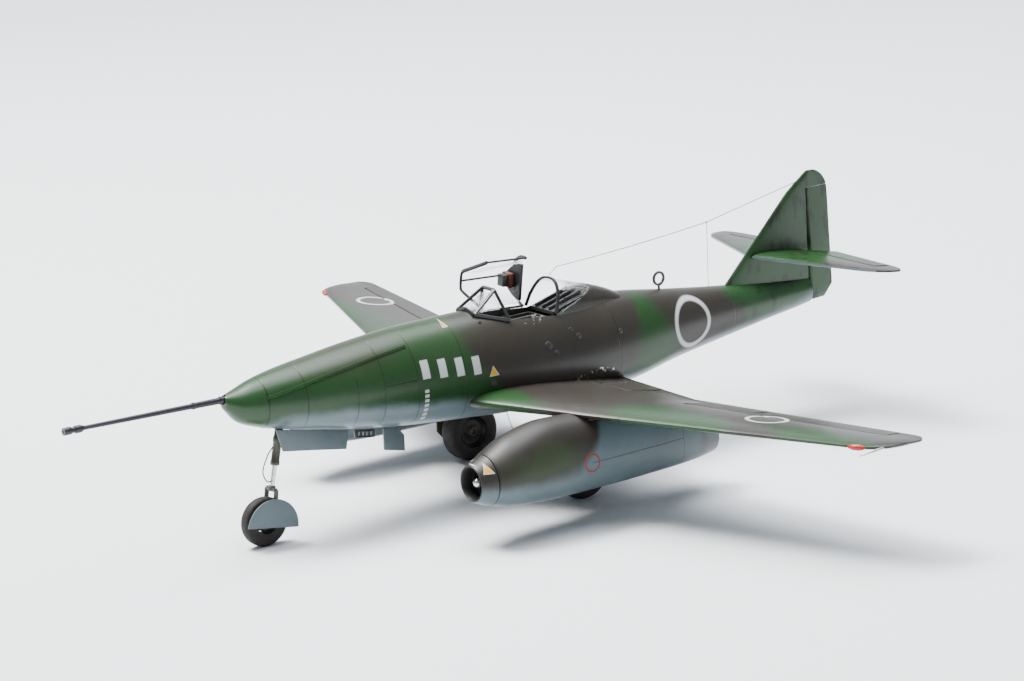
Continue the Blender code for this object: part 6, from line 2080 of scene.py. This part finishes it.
# ==== aerials ==================================================================================
@dataclass
class Aerials:
    """Direction-finding loop, aerial wire and the whip under the belly."""

    paint: Paint
    tail: Tail

    def build(self) -> None:
        """Make the aerials."""
        y = WAIST_Y + 0.78
        top = body_values(y)[0]
        centre = top + 0.155
        rim = turned("loop_rim", [(0.016, 0.076), (0.012, 0.072), (-0.012, 0.072), (-0.016, 0.076),
                                  (-0.016, 0.102), (-0.012, 0.106), (0.012, 0.106),
                                  (0.016, 0.102)], (0, y, centre), (1, 0, 0), self.paint[Coat.FRAME], 60)
        stem = rod("loop stem", (0, y, top + 0.002), (0, y, centre - 0.075), 0.018, self.paint[Coat.FRAME])
        hand_over(joined("direction_loop", [rim, stem]), "dark_frame", "df_loop")
        self.wire()
        whip = [(0.0, 4.50, skin_z(4.50, 0.0, False) + 0.02), (0.0, 4.52, 0.95), (0.0, 4.60, 0.72)]
        hand_over(wire("belly_whip", rounded_path(whip, 8), 0.0048, self.paint[Coat.WIRE]), "wire")

    def wire(self) -> None:
        """Aerial wire from the hood to the fin, with its lead down into the spine."""
        drop_y, fin_z = WAIST_Y + 1.70, FIN_TOP - 0.15
        fin_lead, _ = self.tail.fin_edges(fin_z)
        knee, apex_y = np.array([0.0, drop_y, 3.08]), HOOP_Y + REAR_LEAN
        foot = np.array([0, apex_y, HOOD_TOP_Z + FRAME_BAR / 2 + GAP])
        bend = np.array([0, apex_y + 0.14, foot[2] + 0.10])
        sag = [bend + (knee - bend) * share + (0, 0,
                                               -0.09 * share * (1 - share)) for share in np.linspace(0.05,
                                                                                                     0.95,
                                                                                                     12)]
        radius = 0.00011 / SCALE
        line = wire("aerial line", [foot, bend, *sag, knee, (0, fin_lead - 0.004, fin_z)], radius,
                    self.paint[Coat.WIRE])
        drop = wire("aerial lead", [(0, drop_y, body_values(drop_y)[0]), knee], radius * 0.8,
                    self.paint[Coat.WIRE])
        rise = np.array([0.0, fin_lead - drop_y, fin_z - knee[2]])
        beads = [turned("insulator", [(-0.02, 0.0), (-0.018, 0.009), (0.018, 0.009), (0.02, 0.0)], knee,
                        rise, self.paint[Coat.WIRE], 16)]
        hand_over(joined("aerial", [line, drop, *beads]), "wire", "aerial_wire")


# ==== undercarriage ============================================================================
@dataclass
class Wheel:
    """A tyre on a dished hub with a ring of bolts."""

    paint: Paint
    repeater: Repeater
    name: str
    body: str
    nodes: tuple[str, str]
    centre: tuple[float, float, float]
    radius: float
    width: float
    rim: float

    def build(self) -> None:
        """Make the tyre and the hub."""
        half, rim, radius = self.width / 2, self.rim, self.radius
        side = [(half * 0.62, rim), (half * 0.92, rim + 0.006), (half * 0.99, rim + 0.035),
                (half, radius * 0.80), (half * 0.97, radius * 0.87),
                (half * 0.88, radius * 0.93), (half * 0.72, radius * 0.967), (half * 0.50, radius * 0.988),
                (half * 0.25, radius * 0.997)]
        outline = side + [(0.0, radius)] + [(-a, r) for a, r in reversed(side)]
        tyre = turned(f"{self.name}_rubber", outline, self.centre, (1, 0, 0), self.paint[Coat.RUBBER], 120,
                      50.0)
        hand_over(tyre, "tyre", self.nodes[0], body=self.body)
        edge, bore = rim - GAP, 0.035
        face = [(half * 0.66, bore), (half * 0.66, bore + 0.03), (half * 0.60, bore + 0.036),
                (half * 0.52, edge * 0.45), (half * 0.40, edge * 0.78),
                (half * 0.44, edge * 0.86), (half * 0.70, edge * 0.93), (half * 0.74, edge * 0.97),
                (half * 0.68, edge)]
        hub = turned(f"{self.name}_disc", face + [(-a, r) for a, r in reversed(face)], self.centre,
                     (1, 0, 0), self.paint[Coat.HUB], 72)
        pieces = [hub]
        for sign in (1, -1):
            bolt = turned("bolt", [(0.0, 0.0), (0.0, 0.009), (0.012, 0.009), (0.014, 0.006), (0.014, 0.0)],
                          (0, MIDDLE_Y, 0), (0, 0, 1), self.paint[Coat.HUB], 6)
            middle = Vector(self.centre) + Vector((sign * half * 0.50, 0, 0))
            pieces.append(self.repeater.ring("bolts", bolt, self.paint[Coat.HUB], 8, edge * 0.55, middle,
                                             (sign, 0, 0)))
        hand_over(joined(f"{self.name}_hub_turned", pieces), "dark_frame", self.nodes[1], body=self.body)


@dataclass
class NoseGear:
    """Nose leg, fork, wheel, mudguard, brake hose and the plates of the bay."""

    paint: Paint
    repeater: Repeater
    axle: tuple[float, float, float] = (0.0, 0.50, 0.33)
    foot: tuple[float, float, float] = (0.0, 0.66, 0.80)
    head: tuple[float, float, float] = (0.0, 0.86, 1.72)
    width: float = 0.17

    def build(self) -> None:
        """Make the nose gear."""
        foot, head = Vector(self.foot), Vector(self.head)
        along = (head - foot).normalized()
        knee = foot + along * 0.26
        piston = rod("oleo_piston", foot, knee + along * 0.05, 0.032, self.paint[Coat.STEEL])
        hand_over(piston, "bright_metal")
        leg = turned("leg", [(0.0, 0.030), (0.0, 0.056), (0.01, 0.062), (0.05, 0.062), (0.06, 0.056),
                             (0.30, 0.056), (0.31, 0.064), (0.37, 0.064), (0.38, 0.056),
                             ((head - knee).length, 0.056), ((head - knee).length, 0.0), (0.10, 0.0),
                             (0.10, 0.030)], knee, along, self.paint[Coat.LEG])
        cross = rod("trunnion", (-0.12, *head.yz), (0.12, *head.yz), 0.04, self.paint[Coat.LEG])
        jack = rod("jack", tuple(knee + along * 0.34 + Vector((0.0, 0.05, 0.0))), (0.0, 1.42, 1.55), 0.026,
                   self.paint[Coat.LEG])
        hand_over(joined("nose_leg_turned", [leg, cross, jack]), "bright_metal", "nose_leg")
        self.fork(foot, along)
        Wheel(self.paint, self.repeater, "nose", "nose_wheel", ("nose_tyre", "nose_hub"), self.axle,
              self.axle[2], self.width, 0.15).build()
        self.guard()
        self.plates()

    def fork(self, foot: Vector, along: Vector) -> None:
        """Castoring fork with its axle, links and brake hose.

        Args:
            foot: The lower end of the leg.
            along: The leg's direction, upwards.
        """
        crown = foot - along * (GAP * 1.1)
        arm_x, bridge = self.width / 2 + 0.028, foot - along * (GAP * 1.1 + 0.045)
        finish = self.paint[Coat.LEG]
        pieces = [rod("crown", tuple(crown - along * 0.07), tuple(crown), 0.05, finish, lip=0.008),
                  rod("bridge", tuple(bridge - Vector((arm_x, 0, 0))),
                      tuple(bridge + Vector((arm_x, 0, 0))), 0.030, finish, lip=0.008)]
        axle = Vector(self.axle)
        for sign in (1, -1):
            top = bridge + Vector((sign * arm_x, 0, 0))
            end = axle + Vector((sign * arm_x, 0, 0))
            elbow = top + (end - top) * 0.45 + Vector((0, 0.03, 0))
            line = rounded_path([top, elbow, end], 10)
            pieces.append(flat_bar("arm", line, np.tile((sign * 1.0, 0.0, 0.0), (len(line), 1)), 0.062,
                                   0.030, finish))
            pieces.append(turned("boss", [(-0.018, 0.0), (-0.018, 0.045), (0.018, 0.045), (0.018, 0.0)],
                                 end, (1, 0, 0), finish, 40))
        reach = Vector((arm_x + 0.02, 0, 0))
        pieces.append(rod("nose axle", tuple(axle - reach), tuple(axle + reach), 0.0158, finish))
        hand_over(joined("fork", pieces), "seat_olive", "nose_fork", body="nose_fork")
        hose = [foot + along * 0.52 + Vector((0.02, -0.075, 0)),
                foot + along * 0.42 + Vector((0.03, -0.15, 0)),
                foot + along * 0.22 + Vector((0.04, -0.20, 0)),
                foot + along * 0.08 + Vector((0.05, -0.13, 0)),
                foot + along * 0.06 + Vector((0.04, -0.055, 0))]
        hand_over(wire("brake_hose", rounded_path([tuple(p) for p in hose], 8), 0.0085,
                       self.paint[Coat.WIRE], 4), "wire")

    def guard(self) -> None:
        """Half-round guard plate beside the wheel."""
        centre, radius, tilt = Vector((0, self.axle[1] + 0.035,
                                       self.axle[2] - 0.06)), self.axle[2] + 0.055, math.radians(10)
        x = self.width / 2 + 0.028 + 0.024 + GAP
        angles = -tilt + math.pi * np.arange(49) / 48
        outline = np.stack([np.full(49, x), centre.y + radius * np.cos(angles),
                            centre.z + radius * np.sin(angles)], axis=1)
        guard = prism("mudguard", outline, (0.0288, 0, 0), self.paint[Coat.DOOR])
        soften(guard, 0.006, 2)
        hand_over(guard, "underside_skin", "nose_mudguard", body="nose_fork")

    def plates(self) -> None:
        """The doors of the nose bay and the plate with the ejector slots."""
        x = 0.155
        shapes = (("nose_leg_door", Coat.DOOR, 0.66, 1.78, ((0.0, 0.0), (1.0, 0.0), (0.955, -0.26),
                                                            (0.50, -0.27), (0.08, -0.29))),
                  ("ejector_plate", Coat.FRAME, 1.87, 2.19, ((0.0, 0.0), (1.0, 0.0), (0.98, -0.11),
                                                             (0.02, -0.11))),
                  ("nose_wheel_door", Coat.DOOR, 2.33, 2.66, ((0.0, 0.0), (0.72, 0.0), (1.0, -0.11),
                                                              (1.0, -0.33), (0.0, -0.30))))
        for name, coat, front, rear, shape in shapes:
            outline = []
            for share, down in shape:
                y = front + (rear - front) * share
                outline.append((x, y, skin_z(y, x, False) - GAP + down))
            door = prism(f"{name}_sheet", outline, (0.0288, 0, 0), self.paint[coat])
            if name == "ejector_plate":
                slot = at_origin("slot", (-0.05, -0.016, -0.027), (0.05, 0.016, 0.027))
                ends = [(x + 0.0144, y, skin_z(y, x, False) - GAP - 0.060) for y in (1.935, 2.125)]
                slots = self.repeater.row("slots", slot, self.paint[coat], 4, *ends, 5)
                carve(door, [slots])
            soften(door, 0.006, 2)
            hand_over(door, "underside_skin" if coat is Coat.DOOR else "dark_frame", name)


@dataclass
class MainGear:
    """One main leg with its wheel, brace, links, brake pipe and door."""

    paint: Paint
    repeater: Repeater
    side: Side
    track: float = 2.56
    wheel_y: float = WING_Y + 1.296
    radius: float = 0.42
    width: float = 0.28
    leg_radius: float = 0.055
    leg_top: float = 1.235

    def build(self) -> None:
        """Make the leg, its wheel and its door."""
        sign, word, y = self.side.value, self.side.word, self.wheel_y
        centre = (sign * self.track / 2, y, self.radius)
        Wheel(self.paint, self.repeater, f"main_{word}", f"main_wheel_{word}",
              (f"main_{word}_tyre", f"main_{word}_hub"), centre, self.radius,
              self.width, 0.22).build()
        x = sign * (self.track / 2 + self.width / 2 + self.leg_radius + 0.0004 / SCALE)
        finish = self.paint[Coat.LEG]
        inner = sign * (self.track / 2 - self.width / 4)
        collar = self.radius + 0.34
        pieces = [rod("cylinder", (x, y + 0.02, collar), (x, y + 0.05, self.leg_top), self.leg_radius,
                      finish, lip=0.008),
                  rod("foot", (x, y, self.radius - 0.05), (x, y, self.radius + 0.10), 0.042, finish,
                      lip=0.012),
                  rod("axle", (inner, y, self.radius), (x, y, self.radius), 0.0266, finish),
                  rod("collar", (x, y + 0.02, collar - 0.02), (x, y + 0.022, collar + 0.03),
                      self.leg_radius * 1.0, finish)]
        elbow = (x, y - 0.12, self.radius + 0.24)
        pieces.append(bars("links", [((x, y - 0.03, self.radius + 0.08), elbow),
                                     (elbow, (x, y - 0.03, collar + 0.05))],
                                     (x, y + 0.5, self.radius + 0.24), 0.05, 0.020, finish))
        pieces.append(rod("brace", (x - sign * 0.03, y + 0.06, self.leg_top - 0.18),
                          (x - sign * 0.25, y + 0.36, 1.24), 0.022, finish))
        hand_over(joined(f"main_leg_turned_{word}", pieces), "seat_olive", f"main_leg_{word}")
        piston = rod(f"main_piston_{word}", (x, y, self.radius + 0.05), (x, y + 0.02, collar), 0.036,
                     self.paint[Coat.STEEL])
        hand_over(piston, "bright_metal")
        pipe = [(x, y - 0.06, self.leg_top - 0.05), (x, y - 0.075, collar + 0.12),
                (x, y - 0.13, self.radius + 0.36), (x, y - 0.10, self.radius + 0.15),
                (x, y - 0.045, self.radius + 0.05)]
        hand_over(wire(f"brake_pipe_{word}", rounded_path(pipe, 8), 0.0075, self.paint[Coat.WIRE], 4),
                  "wire")
        self.door(x + sign * (self.leg_radius + GAP))

    def door(self, x: float) -> None:
        """The leg's door plate, its edges rounded."""
        sign, word, y = self.side.value, self.side.word, self.wheel_y
        outline = [(x, y - 0.34, 1.17), (x, y + 0.30, 1.15), (x, y + 0.26, 0.50), (x, y + 0.10, 0.28),
                   (x, y - 0.24, 0.28), (x, y - 0.36, 0.42)]
        door = prism(f"main_door_{word}", outline, (sign * 0.0288, 0, 0), self.paint[Coat.DOOR])
        soften(door, 0.007, 3)
        # The inner face takes the darker olive of the legs: partly the door's inside paint, partly painted
        # shade on the face turned inwards.
        door.data.materials.append(self.paint[Coat.LEG])
        for face in door.data.polygons:
            face.material_index = int(face.normal.x * sign < -0.5)
        hand_over(door, "underside_skin", f"main_leg_door_{word}")


# ==== studio ===================================================================================
@dataclass
class Studio:
    """Pale floor and backdrop, one soft main light from the left, and the camera."""

    camera_at: tuple[float, float, float] = (32.03, -18.94, 12.14)
    azimuth: float = 53.63
    elevation: float = 14.31
    roll: float = -2.51
    lens: float = 105.1

    def build(self) -> None:
        """Set up the studio."""
        self.floor()
        self.lights()
        self.camera()

    def floor(self) -> None:
        """A pale floor that curves up into a backdrop."""
        material = bpy.data.materials.new("studio paper")
        material.use_nodes = True
        sheet = Sheet(material.node_tree)
        shader = material.node_tree.nodes["Principled BSDF"]
        here = sheet.node("ShaderNodeTexCoord").outputs["Object"]
        speck = sheet.noise(here, 900.0, 2.0)
        sheet.feed(shader.inputs["Base Color"], sheet.mix(speck, (0.735, 0.750, 0.775, 1.0),
                                                          (0.765, 0.775, 0.790, 1.0)))
        shader.inputs["Roughness"].default_value = 0.85
        turn = math.radians(self.azimuth)
        back = Vector((-math.sin(turn), math.cos(turn), 0.0))
        across = Vector((math.cos(turn), math.sin(turn), 0.0))
        rise = [(-2.5, 0.0), (1.6, 0.0)] + [(1.6 + 0.7 * math.sin(a),
                                             0.7 - 0.7 * math.cos(a)) for a in np.linspace(0.1, 1.5708,
                                                                                           14)] + [(2.3,
                                                                                                    3.0)]
        rows = []
        for run, height in rise:
            for reach in (-4.0, 4.0):
                rows.append(back * run + across * reach + Vector((0, 0, height)))
        faces = [(2 * i, 2 * i + 1, 2 * i + 3, 2 * i + 2) for i in range(len(rise) - 1)]
        mesh = bpy.data.meshes.new("studio_floor")
        mesh.from_pydata([tuple(row) for row in rows], [], faces)
        mesh.materials.append(material)
        floor = placed("studio_floor", mesh)
        mesh.shade_smooth()

    def lamp(self, name: str, place: Vector, power: float, size: float, colour: tuple[float, float, float],
             aim: Vector = Vector((0, 0, 0.03))) -> None:
        """One soft area light aimed at a place."""
        light = bpy.data.lights.new(name, "AREA")
        light.energy, light.size, light.color = power, size, colour
        lamp = placed(name, light)
        lamp.location = place
        lamp.rotation_euler = (aim - place).to_track_quat("-Z", "Y").to_euler()

    def lights(self) -> None:
        """Main light, fill and an even pale surround."""
        turn = math.radians(self.azimuth)
        back = Vector((-math.sin(turn), math.cos(turn), 0.0))
        across = Vector((math.cos(turn), math.sin(turn), 0.0))
        self.lamp("main light", across * -0.50 + back * 0.10 + Vector((0, 0, 1.10)), 34.0, 0.45,
                  (1.0, 0.985, 0.96))
        self.lamp("overhead", back * 0.30 + Vector((0, 0, 1.60)), 62.0, 1.70, (0.94, 0.97, 1.0))
        self.lamp("backdrop light", back * 0.5 + Vector((0, 0, 1.9)), 40.0, 1.5, (0.94, 0.96, 1.0),
                  back * 2.2 + Vector((0, 0, 0.4)))
        world = bpy.data.worlds.new("studio surround")
        bpy.context.scene.world = world
        world.use_nodes = True
        ground = world.node_tree.nodes["Background"]
        ground.inputs["Color"].default_value = (0.88, 0.93, 1.0, 1.0)
        ground.inputs["Strength"].default_value = 0.42

    def camera(self) -> None:
        """The camera, low off the port bow."""
        az, el, roll = (math.radians(value) for value in (self.azimuth, self.elevation, self.roll))
        forward = Vector((-math.sin(az) * math.cos(el), math.cos(az) * math.cos(el), -math.sin(el)))
        right = Vector((math.cos(az), math.sin(az), 0.0))
        up = right.cross(forward)
        level, cos, sin = right, math.cos(roll), math.sin(roll)
        right, up = level * cos + up * sin, up * cos - level * sin
        data = bpy.data.cameras.new("camera")
        data.lens, data.sensor_width, data.sensor_fit = self.lens, 36.0, "HORIZONTAL"
        data.clip_start = 0.01
        camera = placed("camera", data)
        turn = Matrix((right, up, -forward)).transposed().to_4x4()
        camera.matrix_world = Matrix.Translation(Vector(to_model([self.camera_at])[0])) @ turn
        bpy.context.scene.camera = camera


def dress_frame(paint: Paint) -> None:
    """Finish the nose weight, the one piece of the frame that keeps its own mesh."""
    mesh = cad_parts["nose_weight"].data
    mesh.materials.clear()
    mesh.materials.append(paint[Coat.STEEL])


def main() -> None:
    """Build every sub-assembly in order, then the studio."""
    logging.basicConfig(level=logging.INFO, format="%(name)s %(message)s")
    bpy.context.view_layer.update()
    paint, repeater = mix_paint(), Repeater()
    dress_frame(paint)
    tail = Tail(paint)
    assemblies = [Fuselage(paint, repeater), Wing(paint)]
    assemblies += [Nacelle(paint, repeater, side) for side in Side]
    assemblies += [tail, Canopy(paint), Cockpit(paint, repeater), Aerials(paint, tail),
                   NoseGear(paint, repeater)]
    assemblies += [MainGear(paint, repeater, side) for side in Side]
    assemblies.append(Studio())
    for assembly in assemblies:
        LOG.info("building %s", type(assembly).__name__)
        assembly.build()


if __name__ == "__main__":
    main()
